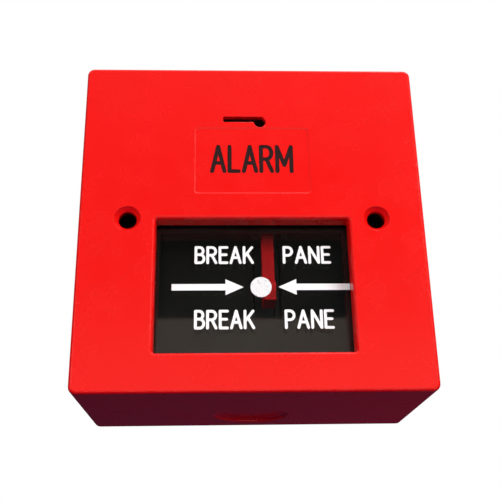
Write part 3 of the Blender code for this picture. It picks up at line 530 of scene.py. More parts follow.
WINDOW = ((-24 * MM, -34 * MM), (24 * MM, 0))
LIP_WALL = 2 * MM
LIP_END = -40.6 * MM
WELLS = [(side * WELL_X, 0) for side in (-1, 1)]
WELL_RADIUS = 3.5 * MM
WELL_END = -23 * MM
BOSSES = [(x * MM, z * MM) for x, z in ((-35, 12), (35, 12), (-35, -36), (35, -36))]
BOSS_END = -26.3 * MM
RAIL_BOTTOM, RAIL_TOP = 5 * MM, 22 * MM
ROOT = FRONT + WALL / 2


def grown_window(margin):
    """The window's corners, wider by a margin on each side."""
    (x0, z0), (x1, z1) = WINDOW
    return (x0 - margin, z0 - margin), (x1 + margin, z1 + margin)


lip_levels = [(ROOT, 0), (LIP_END - 0.3 * MM, 0), (LIP_END, 0.3 * MM)]
lip = tool(block, *grown_window(LIP_WALL), 1 * MM, lip_levels)
posts = []
for x, z in WELLS:
    length = WELL_END - ROOT
    profile = [(0, WELL_RADIUS), (length - 0.3 * MM, WELL_RADIUS), (length, WELL_RADIUS - 0.3 * MM)]
    posts.append(tool(turned, "Y", (x, ROOT, z), profile))
for x, z in BOSSES:
    posts.append(tool(turned, "Y", (x, ROOT, z), [(0, 3.1 * MM), (BOSS_END - ROOT, 2.9 * MM)], sides=32))
rails = []
for outer, edge, hook in ((-4.0, -2.7, -1.65), (8.6, 7.3, 6.25)):
    root = ROOT / MM
    outline = ((outer, root), (edge, root), (edge, -40.1), (hook, -40.1), (hook, -39.1), (outer, -39.1))
    bm = bmesh.new()
    skin(bm, [[(x * MM, y * MM, z) for x, y in outline] for z in (RAIL_BOTTOM, RAIL_TOP)])
    rails.append(to_object("tool", bm))
combine(cover, [lip, *posts, *rails], "UNION")
print("posts", len(posts), "rails", len(rails))

# %% [markdown]
# ## Openings in the cover
# The rim of each opening is a quarter circle: large at the window, where a thumb goes in, and small at the
# wells and the key slot. A rim like this is what catches the light as a thin bright line. Behind the key
# slot the wall is cut back, so that it looks thin. The knock-out underneath is a shallow dish, thin enough
# to be broken out.

# %% Window, wells, key slot and knock-out

RIM = 0.9 * MM


def flared(front, radius, end, inner=0.0):
    """Levels of a cutting tool whose mouth is rounded by `radius` at the surface, and which runs on to `end`."""
    levels = [(front - OUT, -radius)]
    for i in range(ARC_STEPS + 1):
        angle = i / ARC_STEPS * math.pi / 2
        levels.append((front + radius * (1 - math.cos(angle)), -radius * (1 - math.sin(angle))))
    levels[1] = (front - 0.02 * MM, levels[1][1])
    return levels + [(end, inner)]


def flared_bore(radius, rim, depth):
    """The same for a round hole: a lathe profile that starts 1 mm outside the surface."""
    return [(y - FRONT, radius - inset) for y, inset in flared(FRONT, rim, FRONT + depth)]


cuts = [tool(block, *WINDOW, 0.5 * MM, flared(FRONT, RIM, LIP_END + OUT))]
SEAT_DEPTH = -25 * MM - FRONT
WELL_BORE = 2.15 * MM
SCREW_HOLE = 1.6 * MM
for x, z in WELLS:
    cone = flared_bore(3.2 * MM, 0.2 * MM, 0.25 * MM) + [(1.1 * MM, 2.4 * MM), (1.3 * MM, 2.25 * MM)]
    seat = [(SEAT_DEPTH, WELL_BORE), (SEAT_DEPTH + 0.01 * MM, SCREW_HOLE), (24 * MM, SCREW_HOLE)]
    cuts.append(tool(turned, "Y", (x, FRONT, z), cone + seat))
for x, z in BOSSES:
    cuts.append(tool(turned, "Y", (x, -38 * MM, z), [(0, 1.4 * MM), (14 * MM, 1.4 * MM)], sides=32))

KEY_HOLE = (2.3 * MM, 27.4 * MM)
KEY_RIM = 0.22 * MM
THROUGH = 4 * MM
key_bore = flared_bore(1.5 * MM, KEY_RIM, THROUGH)
cuts.append(tool(turned, "Y", (KEY_HOLE[0], FRONT, KEY_HOLE[1]), key_bore))
slot_low, slot_high = (-7.2 * MM, KEY_HOLE[1]), (3.0 * MM, KEY_HOLE[1] + 1.5 * MM)
cuts.append(tool(block, slot_low, slot_high, 0.35 * MM, flared(FRONT, KEY_RIM, FRONT + THROUGH)))
relief = [(FRONT + 1.4 * MM, 0), (INSIDE + OUT, 0)]
cuts.append(tool(block, (-9.2 * MM, 24.8 * MM), (5.4 * MM, 31.2 * MM), 1 * MM, relief))

KNOCKOUT_Y = -15.5 * MM
dish = [(-1, 9.9), (0, 9.9), (0.03, 9.72), (0.1, 9.58), (0.2, 9.5), (0.42, 9.45), (0.6, 9.1), (1, 7.4)]
dish = [(depth * MM, radius * MM) for depth, radius in dish]
cuts.append(tool(turned, "Z", (0, KNOCKOUT_Y, BOTTOM_FACE), dish, sides=72))
combine(cover, cuts, "DIFFERENCE")
print("openings", len(cuts))

# %% [markdown]
# ## The label
# A shallow panel is sunk into the face, and a word is cut into its floor and filled with black paint. The
# real mark is not copied: a plain generic word stands in its place. Such letters are cut with a round tool
# that follows a line, so each is given here as the line of the tool, and every stretch of it becomes a bar
# with round ends.

# %% Letters as strokes of a round tool


def bowl(x, low, high, steps=8):
    """The round part of a letter such as P: a half circle that bulges to the right."""
    middle, radius = (low + high) / 2, (high - low) / 2
    angles = [math.pi / 2 - math.pi * i / steps for i in range(steps + 1)]
    return [(x + 0.9 * radius * math.cos(a) / 0.5, middle + radius * math.sin(a)) for a in angles]


GLYPHS = {
    "A": (0.95, [[(0, 0), (0.5, 1), (1, 0)], [(0.19, 0.33), (0.81, 0.33)]]),
    "B": (0.8, [[(0, 0), (0, 1), *bowl(0.5, 0.53, 1), (0, 0.53)], [*bowl(0.55, 0, 0.53), (0, 0)]]),
    "E": (0.72, [[(1, 1), (0, 1), (0, 0), (1, 0)], [(0, 0.52), (0.88, 0.52)]]),
    "K": (0.85, [[(0, 0), (0, 1)], [(0.95, 1), (0, 0.38)], [(0.36, 0.6), (1, 0)]]),
    "L": (0.7, [[(0, 1), (0, 0), (1, 0)]]),
    "M": (1.1, [[(0, 0), (0, 1), (0.5, 0.25), (1, 1), (1, 0)]]),
    "N": (0.88, [[(0, 0), (0, 1), (1, 0), (1, 1)]]),
    "P": (0.8, [[(0, 0), (0, 1), *bowl(0.5, 0.47, 1), (0, 0.47)]]),
    "R": (0.85, [[(0, 0), (0, 1), *bowl(0.5, 0.49, 1), (0, 0.49)], [(0.5, 0.49), (0.98, 0)]]),
    "1": (0.4, [[(0, 0.75), (0.8, 1), (0.8, 0)]]),
    "2": (0.7, [[(0, 0.8), (0.3, 1), (0.8, 0.95), (0.95, 0.7), (0, 0), (1, 0)]]),
    "3": (0.7, [[(0, 1), (0.95, 1), (0.4, 0.58), (0.95, 0.4), (0.85, 0.05), (0.3, 0), (0, 0.15)]]),
    "4": (0.75, [[(0.75, 0), (0.75, 1), (0, 0.3), (1, 0.3)]]),
}
SPACE = 0.4


def bar(a, b, radius, front, back):
    """A bar with round ends between two points in X and Z."""
    lean = math.atan2(b[1] - a[1], b[0] - a[0])
    outline = []
    for (x, z), start in ((b, lean - math.pi / 2), (a, lean + math.pi / 2)):
        for i in range(9):
            angle = start + math.pi * i / 8
            outline.append((x + radius * math.cos(angle), z + radius * math.sin(angle)))
    return tool(prism, outline, front, back)


def lettering(word, low, high, stroke, front, back, thinner=0.0):
    """A word as a solid that fills a box in X and Z. Its bars are joined, so each letter is one clean body."""
    widths = [GLYPHS[letter][0] for letter in word]
    radius = stroke / 2
    unit = (high[0] - low[0] - stroke) / (sum(widths) + SPACE * (len(word) - 1))
    tall = high[1] - low[1] - stroke
    left = low[0] + radius
    letters = []
    for letter, width in zip(word, widths):
        bars = []
        for line in GLYPHS[letter][1]:
            spots = [(left + x * width * unit, low[1] + radius + z * tall) for x, z in line]
            bars += [bar(a, b, radius - thinner, front, back) for a, b in zip(spots, spots[1:])]
        letters.append(combine(bars[0], bars[1:], "UNION"))
        left += (width + SPACE) * unit
    bm = bmesh.new()
    for letter in letters:
        bm.from_mesh(letter.data)
        bpy.data.objects.remove(letter)
    return to_object("letters", bm)


# %% Label panel and its letters

PANEL = ((-14.3 * MM, 7.1 * MM), (14.6 * MM, 25.4 * MM))
PANEL_FLOOR = FRONT + 0.2 * MM
slope = [(FRONT - OUT, -0.6 * MM), (FRONT - 0.01 * MM, -0.4 * MM), (FRONT + 0.06 * MM, -0.2 * MM)]
panel = tool(block, *PANEL, 0.6 * MM, slope + [(FRONT + 0.16 * MM, -0.05 * MM), (PANEL_FLOOR, 0.1 * MM)])
combine(cover, [panel], "DIFFERENCE")
WORD = ((-10.6 * MM, 12.6 * MM), (10.7 * MM, 20.7 * MM))
combine(cover, [lettering("ALARM", *WORD, 1.05 * MM, FRONT - OUT, PANEL_FLOOR + 0.25 * MM)], "DIFFERENCE")
finish_piece(cover, "cover_shell", GLOSS_RED, "housing", ["front_cover"])
fill = lettering("ALARM", *WORD, 1.05 * MM, PANEL_FLOOR + 0.07 * MM, PANEL_FLOOR + 0.3 * MM, 0.01 * MM)
finish_piece(fill, "label_fill", BLACK_PAINT, "housing")

# %% [markdown]
# ## The pane and its printing
# The pane is a plate of glass with ground edges. On its face are two arrows that point at a round mark,
# which is the usual way to show where a call point is pressed, and short generic words in place of the real
# ones. Ink has a real thickness, so the printing is a thin solid of its own that moves with the pane.

# %% Glass pane

pane_low, pane_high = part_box("glass_pane")
ground = 0.25 * MM
levels = [(pane_low.y, ground), (pane_low.y + ground, 0), (pane_high.y - ground, 0), (pane_high.y, ground)]
bm = bmesh.new()
block(bm, (pane_low.x, pane_low.z), (pane_high.x, pane_high.z), 0.8 * MM, levels)
finish_piece(to_object("glass", bm), "glass_plate", FLOAT_GLASS, "pane", ["glass_pane"])

# %% Printing on the pane

INK = 0.03 * MM
INK_BACK = pane_low.y - 0.002 * MM
INK_FRONT = INK_BACK - INK
DOT = (2.0 * MM, -16.1 * MM)


def ink(outline):
    return tool(prism, outline, INK_FRONT, INK_BACK)


def arrow(way):
    """An arrow that points at the mark, from the side that `way` gives."""
    points = [(4.3, 0), (8.8, 2.05), (8.8, 0.83), (22.1, 0.83), (22.1, -0.83), (8.8, -0.83), (8.8, -2.05)]
    return ink([(DOT[0] + way * x * MM, DOT[1] + z * MM) for x, z in points])


turns = [2 * math.pi * i / 64 for i in range(64)]
wobble = [2.62 * MM + random.uniform(-0.02, 0.02) * MM for _ in turns]
mark = ink([(DOT[0] + r * math.cos(a), DOT[1] + r * math.sin(a)) for a, r in zip(turns, wobble)])
WORN_INK = printed("rubbed_white_ink", "E9ECEF", "B4BABF", 0.55, 0.6)
finish_piece(mark, "press_mark", WORN_INK, "pane", weighted=False)
printed_parts = [arrow(-1), arrow(1)]
UPPER_ROW, LOWER_ROW = (-10.0 * MM, -5.2 * MM), (-26.9 * MM, -21.95 * MM)
for bottom, top in (UPPER_ROW, LOWER_ROW):
    words = (("BREAK", -14.5 * MM, 0.35 * MM), ("PANE", 7.6 * MM, 19.8 * MM))
    for word, left, right in words:
        printed_parts.append(lettering(word, (left, bottom), (right, top), 0.7 * MM, INK_FRONT, INK_BACK))
bm = bmesh.new()
for part in printed_parts:
    bm.from_mesh(part.data)
    bpy.data.objects.remove(part)
bmesh.ops.recalc_face_normals(bm, faces=bm.faces)
finish_piece(to_object("ink", bm), "pane_print", WHITE_INK, "pane", weighted=False)

# %% [markdown]
# ## The lever and the rest of the moving pieces
# The lever is a thin nylon moulding, so its edges are rounder than those of the housing. The carrier, the
# plunger and the test slide keep their CAD shape and get softened edges.

# %% Moving pieces

refined("actuator_lever", LEVER_RED, "lever", 0.35 * MM, 3)
refined("pane_carrier", BLACK_ABS, "pane", 0.18 * MM)
refined("switch_plunger", WHITE_ACETAL, "plunger", 0.12 * MM)
refined("test_slide", WHITE_ACETAL, "test_slide", 0.2 * MM)

# %% [markdown]
# ## The base plate
# The base plate is what is fixed to the wall, so its back is what is seen from behind. A real one shows
# round marks where pins pushed it out of the mould, a sunk ring round each fixing slot, and a groove inside
# its border that keeps the plate from warping. The marks and the rings are cut a few tenths of a millimetre deep; the
# groove is not made.

# %% Base plate


def plate_marks(plate):
    """Cuts the ejector marks and the rings round the slots into the plate's back."""
    marks = []
    depth = 0.25 * MM
    for x, z in ((-30, 31), (30, 31), (-30, -33), (30, -33), (-33, 0), (33, 0), (-16, 12), (16, 12)):
        profile = [(0, 2.5 * MM), (depth + OUT, 2.5 * MM)]
        marks.append(tool(turned, "Y", (x * MM, -depth, z * MM), profile, sides=32))
    for z in (-30.15 * MM, 30.15 * MM):
        ring = [(-0.5 * MM, 0.1 * MM), (-0.4 * MM, 0), (OUT, 0)]
        marks.append(tool(block, (-7 * MM, z - 5.2 * MM), (7 * MM, z + 5.2 * MM), 5 * MM, ring))
    return combine(plate, marks, "DIFFERENCE")


refined("base_plate", DULL_RED, "housing", 0.2 * MM, 2, plate_marks)

# %% [markdown]
# ## Fixed mouldings inside
# The chassis, the switch case and the terminal block are mouldings too. Their shape is right in the CAD,
# and the same softening suits them. The gasket is cut from sheet rubber and keeps its crisp edges.

# %% Chassis, switch and terminal block

refined("chassis", BLACK_ABS, "housing", 0.15 * MM)
refined("switch_body", BLACK_CASE, "housing", 0.15 * MM)
refined("switch_lid", BLACK_CASE, "housing", 0.15 * MM)
refined("terminal_block", GREY_NYLON, "housing", 0.15 * MM)
refined("pane_gasket", RUBBER, "housing", 0.08 * MM)
for label in ("common", "normally_open", "normally_closed"):
    refined("switch_tab_" + label, TINNED, "housing", 0.06 * MM)
for number in range(1, 5):
    refined(f"clamp_cage_{number}", BRASS, "housing", 0.1 * MM)

# %% Poles numbered on the terminal block

block_low, block_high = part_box("terminal_block")
POLES = [v * MM for v in (-25.5, -20.5, -15.5, -10.5)]
numbers = bmesh.new()
for number, x in enumerate(POLES, 1):
    low, high = (x - 0.6 * MM, block_low.z + 0.4 * MM), (x + 0.6 * MM, block_low.z + 2 * MM)
    digit = lettering(str(number), low, high, 0.24 * MM, block_high.y - 0.1 * MM, block_high.y + 0.12 * MM)
    for vertex in digit.data.vertices:
        vertex.co.x = 2 * x - vertex.co.x
    numbers.from_mesh(digit.data)
    bpy.data.objects.remove(digit)
bmesh.ops.recalc_face_normals(numbers, faces=numbers.faces)
finish_piece(to_object("digits", numbers), "pole_numbers", GREY_NYLON, "housing", weighted=False)

# %% [markdown]
# ## Screws by Geometry Nodes
# The object has fourteen screws of five sizes. They differ only in a few measures, so one node tree makes
# them all: a domed head is a circle swept up a short line while its scale falls, a box cuts the slot, and a
# spiral with a five-sided profile winds the thread round the shank. The screw is then set on points, turned
# and made real.

# %% The screw tree


def new_tree(name, sockets):
    """A geometry node tree with one geometry input, the named inputs given, and one geometry output."""
    tree = bpy.data.node_groups.new(name, "GeometryNodeTree")
    tree.interface.new_socket("Points", in_out="INPUT", socket_type="NodeSocketGeometry")
    for label, kind in sockets:
        tree.interface.new_socket(label, in_out="INPUT", socket_type=kind)
    tree.interface.new_socket("Geometry", in_out="OUTPUT", socket_type="NodeSocketGeometry")
    return tree, add_node(tree, "NodeGroupInput").outputs, add_node(tree, "NodeGroupOutput").inputs


def swept(tree, curve, sides, radius, scale=1.0):
    """A round profile carried along a curve, with closed ends."""
    profile = add_node(tree, "GeometryNodeCurvePrimitiveCircle", {"Resolution": sides, "Radius": radius})
    inputs = {"Curve": curve, "Profile Curve": profile.outputs[0], "Scale": scale, "Fill Caps": True}
    return add_node(tree, "GeometryNodeCurveToMesh", inputs).outputs[0]


def upright(tree, length, count, start=0.0):
    """A straight curve up the Z axis from `start`, cut into `count` points."""
    low = add_node(tree, "ShaderNodeCombineXYZ", {"Z": start}).outputs[0]
    top = add_node(tree, MATH, {0: length, 1: start}, operation="ADD").outputs[0]
    high = add_node(tree, "ShaderNodeCombineXYZ", {"Z": top}).outputs[0]
    line = add_node(tree, "GeometryNodeCurvePrimitiveLine", {"Start": low, "End": high}).outputs[0]
    return add_node(tree, "GeometryNodeResampleCurve", {"Curve": line, "Count": count}).outputs[0]


def end_tree(tree, geometry, given, out):
    """Makes instances real and sets the finish, which ends every tree here."""
    real = add_node(tree, "GeometryNodeRealizeInstances", {"Geometry": geometry}).outputs[0]
    last = add_node(tree, "GeometryNodeSetMaterial", {"Geometry": real, "Material": given["Finish"]})
    tree.links.new(last.outputs[0], out["Geometry"])


def set_on_points(tree, made, given, out):
    """Sets what was made on each point, turned as asked, and ends the tree."""
    inputs = {"Points": given["Points"], "Instance": made, "Rotation": given["Turn"]}
    end_tree(tree, add_node(tree, "GeometryNodeInstanceOnPoints", inputs).outputs[0], given, out)


def screw_tree():
    floats = ("Head radius", "Head height", "Shank radius", "Length", "Pitch", "Slot width")
    sockets = [(name, "NodeSocketFloat") for name in floats]
    sockets += [("Turn", "NodeSocketRotation"), ("Finish", "NodeSocketMaterial")]
    tree, given, out = new_tree("slotted screw", sockets)
    along = add_node(tree, "GeometryNodeSplineParameter").outputs["Factor"]
    past_rim = add_node(tree, MATH, {0: along, 1: 0.45}, operation="SUBTRACT").outputs[0]
    risen = add_node(tree, MATH, {0: past_rim, 1: 0.0}, operation="MAXIMUM").outputs[0]
    curved = add_node(tree, MATH, {0: risen, 1: 2.2}, operation="POWER").outputs[0]
    drop = add_node(tree, MATH, {0: curved, 1: 0.95}, operation="MULTIPLY").outputs[0]
    dome = add_node(tree, MATH, {0: 1.0, 1: drop}, operation="SUBTRACT").outputs[0]
    head = swept(tree, upright(tree, given["Head height"], 9), 40, given["Head radius"], dome)
    across = add_node(tree, MATH, {0: given["Head radius"], 1: 3.0}, operation="MULTIPLY").outputs[0]
    size = {"X": across, "Y": given["Slot width"], "Z": given["Head height"]}
    size = add_node(tree, "ShaderNodeCombineXYZ", size).outputs[0]
    rise = add_node(tree, MATH, {0: given["Head height"], 1: 1.05}, operation="MULTIPLY").outputs[0]
    rise = add_node(tree, "ShaderNodeCombineXYZ", {"Z": rise}).outputs[0]
    slot = add_node(tree, "GeometryNodeMeshCube", {"Size": size}).outputs[0]
    slot = add_node(tree, "GeometryNodeTransform", {"Geometry": slot, "Translation": rise}).outputs[0]
    cut = add_node(tree, "GeometryNodeMeshBoolean", {"Mesh 1": head, "Mesh 2": slot}, solver="EXACT")
    core = add_node(tree, MATH, {0: given["Shank radius"], 1: 0.84}, operation="MULTIPLY").outputs[0]
    past_shank = add_node(tree, MATH, {0: along, 1: 0.9}, operation="SUBTRACT").outputs[0]
    tip = add_node(tree, MATH, {0: past_shank, 1: 0.0}, operation="MAXIMUM").outputs[0]
    narrower = add_node(tree, MATH, {0: tip, 1: 5.5}, operation="MULTIPLY").outputs[0]
    taper = add_node(tree, MATH, {0: 1.0, 1: narrower}, operation="SUBTRACT").outputs[0]
    down = add_node(tree, MATH, {0: given["Length"], 1: -1.0}, operation="MULTIPLY").outputs[0]
    start = add_node(tree, MATH, {0: given["Head height"], 1: 0.3}, operation="MULTIPLY").outputs[0]
    reach = add_node(tree, MATH, {0: down, 1: start}, operation="SUBTRACT").outputs[0]
    shank = swept(tree, upright(tree, reach, 21, start), 24, core, taper)
    threaded = add_node(tree, MATH, {0: given["Length"], 1: 0.85}, operation="MULTIPLY").outputs[0]
    spiral = {
        "Resolution": 20,
        "Rotations": add_node(tree, MATH, {0: threaded, 1: given["Pitch"]}, operation="DIVIDE").outputs[0],
        "Start Radius": core,
        "End Radius": core,
        "Height": add_node(tree, MATH, {0: down, 1: 0.85}, operation="MULTIPLY").outputs[0],
    }
    winding = add_node(tree, "GeometryNodeCurveSpiral", spiral).outputs[0]
    ridge = add_node(tree, MATH, {0: given["Shank radius"], 1: 0.16}, operation="MULTIPLY").outputs[0]
    whole = add_node(tree, "GeometryNodeJoinGeometry")
    for part in (cut.outputs["Mesh"], shank, swept(tree, winding, 5, ridge)):
        tree.links.new(part, whole.inputs[0])
    set_on_points(tree, whole.outputs[0], given, out)
    return tree


# %% Grow a tree on points


def grown(name, tree, points, values, edges=()):
    """Runs a tree on a mesh of bare points and returns the result as a plain mesh object."""
    mesh = bpy.data.meshes.new(name)
    mesh.from_pydata([tuple(p) for p in points], list(edges), [])
    made = bpy.data.objects.new(name, mesh)
    bpy.context.scene.collection.objects.link(made)
    modifier = made.modifiers.new("tree", "NODES")
    modifier.node_group = tree
    named = {s.name: s.identifier for s in tree.interface.items_tree if s.in_out == "INPUT"}
    for label, value in values.items():
        modifier[named[label]] = value
    bpy.context.view_layer.update()
    return baked(made)


SCREW = screw_tree()
FORWARD, BACKWARD, LEFTWARD = (math.pi / 2, 0, 0), (-math.pi / 2, 0, 0), (0, -math.pi / 2, 0)
block_middle = (block_low.z + block_high.z) / 2
pole_points = [(x, -15.5 * MM, block_middle) for x in POLES]
families = {
    "cover_screws": (FORWARD, 1.8, 2, 1.3, 9.5, 0.9, [(s * WELL_X, -25.3 * MM, 0) for s in (-1, 1)]),
    "chassis_screws": (BACKWARD, 2.35, 1.5, 1.1, 12, 0.8, [(x, -23.7 * MM, z) for x, z in BOSSES]),
    "switch_screws": (LEFTWARD, 1.85, 1.4, 0.95, 9.4, 0.5, [(0.8 * MM, -19.5 * MM, z * MM) for z in (-5.4, -14.9)]),
    "clamp_screws": (BACKWARD, 1.55, 1.3, 1.0, 3.4, 0.5, pole_points),
    "block_screws": (BACKWARD, 1.85, 1.3, 0.9, 4.6, 0.6, [(x * MM, -20.4 * MM, -11 * MM) for x in (-31.25, -4.75)]),
}
screw_nodes = {
    "cover_screws": ["cover_screw_left", "cover_screw_right"],
    "chassis_screws": [f"chassis_screw_{i}" for i in range(1, 5)],
    "switch_screws": ["switch_screw_1", "switch_screw_2"],
    "clamp_screws": [f"clamp_screw_{i}" for i in range(1, 5)],
    "block_screws": ["block_screw_left", "block_screw_right"],
}
for name, (turn, head, height, shank, length, pitch, seats) in families.items():
    values = {
        "Head radius": head * MM,
        "Head height": height * MM,
        "Shank radius": shank * MM,
        "Length": length * MM,
        "Pitch": pitch * MM,
        "Slot width": 0.6 * MM,
        "Turn": turn,
        "Finish": ZINC,
    }
    screws = grown(name, SCREW, seats, values)
    finish_piece(screws, name + "_detail", ZINC, "housing", screw_nodes[name], weighted=False)

# %% [markdown]
# ## Springs by Geometry Nodes
# A coil spring is a round wire that follows a spiral. One tree makes the four pane springs and the small
# spring of the test slide. One end of a spring moves and the other doesn't, but here each spring is simply
# tied to the housing and is not flattened as its joint moves.

# %% Coil springs


def spring_tree():
    sockets = [(name, "NodeSocketFloat") for name in ("Coil radius", "Wire radius", "Height", "Turns")]
    sockets += [("Turn", "NodeSocketRotation"), ("Finish", "NodeSocketMaterial")]
    tree, given, out = new_tree("coil spring", sockets)
    spiral = {
        "Resolution": 28,
        "Rotations": given["Turns"],
        "Start Radius": given["Coil radius"],
        "End Radius": given["Coil radius"],
        "Height": given["Height"],
    }
    winding = add_node(tree, "GeometryNodeCurveSpiral", spiral).outputs[0]
    set_on_points(tree, swept(tree, winding, 10, given["Wire radius"]), given, out)
    return tree


SPRING = spring_tree()
GUIDES = [(x * MM, z * MM) for x in (-30, 30) for z in (-10, -29)]
spring_low, spring_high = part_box("pane_spring_upper_left")
wire = 0.3 * MM
values = {
    "Coil radius": 1.8 * MM,
    "Wire radius": wire,
    "Height": spring_high.y - spring_low.y - 2 * wire,
    "Turns": 4.0,
    "Turn": FORWARD,
    "Finish": SPRING_STEEL,
}
pane_springs = grown("pane_springs", SPRING, [(x, spring_high.y - wire, z) for x, z in GUIDES], values)
corners = ("upper_left", "lower_left", "upper_right", "lower_right")
spring_nodes = ["pane_spring_" + corner for corner in corners]
finish_piece(
    pane_springs, "pane_springs_detail", SPRING_STEEL, "housing", spring_nodes, weighted=False
)
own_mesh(pane_springs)

small_low, small_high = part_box("slide_spring")
wire = 0.22 * MM
values = {
    "Coil radius": 0.8 * MM,
    "Wire radius": wire,
    "Height": small_high.z - small_low.z - 2 * wire,
    "Turns": 4.0,
    "Turn": (0, 0, 0),
    "Finish": SPRING_STEEL,
}
start = [(2.3 * MM, FRONT + WALL + 1.3 * MM, small_low.z + wire)]
slide_spring = grown("slide_spring", SPRING, start, values)
finish_piece(
    slide_spring, "slide_spring_detail", SPRING_STEEL, "housing", ["slide_spring"], weighted=False
)
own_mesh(slide_spring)

# %% [markdown]
# ## Wires and the lever's spring
# A wire follows a path, so one small tree carries a round profile along a line of points. The insulation
# stops short of each end, where the bare tinned strands go through the switch's tab and into the clamp. The
# lever's spring is wound from wire too: a few turns on the pin, with an arm at each end. It is tied to
# no body, so it stays where it is made and does not bend.

# %% Round wire along a path


def path_tree():
    sockets = [("Radius", "NodeSocketFloat"), ("Finish", "NodeSocketMaterial")]
    tree, given, out = new_tree("wire on a path", sockets)
    line = add_node(tree, "GeometryNodeMeshToCurve", {"Mesh": given["Points"]}).outputs[0]
    end_tree(tree, swept(tree, line, 14, given["Radius"]), given, out)
    return tree


def smooth_route(points, steps=12):
    """Points along a Catmull-Rom curve through a route given in millimetres."""
    route = [Vector(p) * MM for p in points]
    route = [2 * route[0] - route[1], *route, 2 * route[-1] - route[-2]]
    line = []
    for a, b, c, d in zip(route, route[1:], route[2:], route[3:]):
        for i in range(steps):
            t = i / steps
            bend = (2 * a - 5 * b + 4 * c - d) * t**2 + (3 * b - a - 3 * c + d) * t**3
            line.append(0.5 * (2 * b + (c - a) * t + bend))
    return line + [route[-2]]


def along(name, line, radius, finish):
    edges = [(i, i + 1) for i in range(len(line) - 1)]
    return grown(name, WIRE, line, {"Radius": radius, "Finish": finish}, edges)


WIRE = path_tree()
routes = {
    "wire_common": ((4.3, -8.2, -2.8), (1.5, -6.6, 1.5), (-5, -9.5, 4.5), (-10.5, -15.5, 1.6)),
    "wire_normally_open": ((4.3, -8.2, -10.2), (1, -5.6, -4.5), (-8.5, -7.2, 3), (-15.5, -15.5, 1.6)),
    "wire_normally_closed": ((4.3, -8.2, -17.6), (0, -5, -11.5), (-13, -5.6, -0.5), (-20.5, -15.5, 1.6)),
}
strands = bmesh.new()
for name, route in routes.items():
    pole = route[-1][0]
    line = smooth_route([*route, (pole, -19.9, -2.8), (pole, -19.9, -10)])
    finish, slot = PVC[name]
    jacket = along(name + "_jacket", line[3:-7], 0.6 * MM, finish)
    finish_piece(jacket, name + "_jacket", finish, "housing", [name], smooth=60, weighted=False)
    core = along("core", line, 0.32 * MM, COPPER)
    strands.from_mesh(core.data)
    bpy.data.objects.remove(core)
    length = sum((b - a).length for a, b in zip(line, line[1:]))
    print(name, "length", round(length / MM, 1), "mm")
finish_piece(
    to_object("strands", strands), "wire_strands", COPPER, "housing", smooth=60, weighted=False
)

# %% The lever's torsion spring

pivot = Vector((4.3, -30, 5)) * MM
wire = 0.25 * MM
coil = 1.9 * MM
coil_left = pivot.x + 1.6 * MM + 0.55 * MM
turns = 2.5
arm = ((pivot.x - 1 * MM, 7.5), (coil_left - 0.5 * MM, 7.5), (coil_left - 0.1 * MM, 7.3), (coil_left, 6.8))
points = [Vector((x, pivot.y + coil, pivot.z - drop * MM)) for x, drop in arm]
steps = round(turns * 28)
for i in range(steps + 1):
    angle = 2 * math.pi * i / 28
    spot = (coil_left + 1.3 * MM * i / steps, pivot.y + coil * math.cos(angle), pivot.z + coil * math.sin(angle))
    points.append(Vector(spot))
spring_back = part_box("lever_spring")[1].y
last = points[-1]
points.append(Vector((last.x, min(spring_back - wire, -26.6 * MM), last.z + 2.6 * MM)))
lever_spring = along("torsion", points, wire, SPRING_STEEL)
finish_piece(lever_spring, "lever_spring_detail", SPRING_STEEL, None, ["lever_spring"], 60, False)
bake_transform(lever_spring)

# %% [markdown]
# ## Pin, clips and inserts
# The pin is turned, so it has a small chamfer at each end. The clips are stamped from spring sheet, and the
# inserts in the posts are brass with a knurl that grips the plastic.

# %% Turned and stamped pieces

pin_low, pin_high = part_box("lever_pin")
chamfer = 0.2 * MM
length = pin_high.x - pin_low.x
profile = [(0, 0.8 * MM), (chamfer, 1 * MM), (length - chamfer, 1 * MM), (length, 0.8 * MM)]
pin = tool(turned, "X", (pin_low.x, pivot.y, pivot.z), profile)
finish_piece(pin, "lever_pin_detail", ZINC, "housing", ["lever_pin"])
for side in ("left", "right"):
    refined("pin_clip_" + side, SPRING_STEEL, "housing", 0.06 * MM)
    low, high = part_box("post_insert_" + side)
    x = (low.x + high.x) / 2
    length = high.y - low.y
    bm = bmesh.new()
    rings = []
    for distance, knurl in ((0, 0), (0.3 * MM, 1), (2.6 * MM, 1), (3 * MM, 0), (4 * MM, 0), (4.3 * MM, 1), (length, 1)):
        ring = []
        for i in range(72):
            tooth = 0.12 * MM * (i % 2) if knurl else 0.16 * MM
            angle = 2 * math.pi * i / 72
            radius = 2.28 * MM - tooth
            ring.append((x + radius * math.cos(angle), low.y + distance, radius * math.sin(angle)))
        rings.append(ring)
    skin(bm, rings)
    insert = to_object("insert", bm)
    bore = tool(turned, "Y", (x, low.y - OUT, 0), [(0, 1.35 * MM), (length + 2 * OUT, 1.35 * MM)], sides=32)
    combine(insert, [bore], "DIFFERENCE")
    finish_piece(insert, f"post_insert_{side}_detail", BRASS, "housing", ["post_insert_" + side], 20)

# %% [markdown]
# ## Camera
# The camera stands below the middle of the box and looks up at it a little, so the underside shows as a
# dark band. It is turned two degrees to the right and rolled one degree, with a lens a little longer than
# normal.

# %% Set the camera

data = bpy.data.cameras.new("camera")
data.lens = 59.05
data.sensor_width = 36
data.clip_start = 0.01
camera = bpy.data.objects.new("camera", data)
bpy.context.scene.collection.objects.link(camera)
camera.location = (-0.00883, -0.23130, -0.08188)
look = Vector((0.03998, 0.92966, 0.36624))
camera.rotation_mode = "QUATERNION"
roll = Matrix.Rotation(math.radians(-1.02), 4, "Z").to_quaternion()
camera.rotation_quaternion = look.to_track_quat("-Z", "Y") @ roll
bpy.context.scene.camera = camera

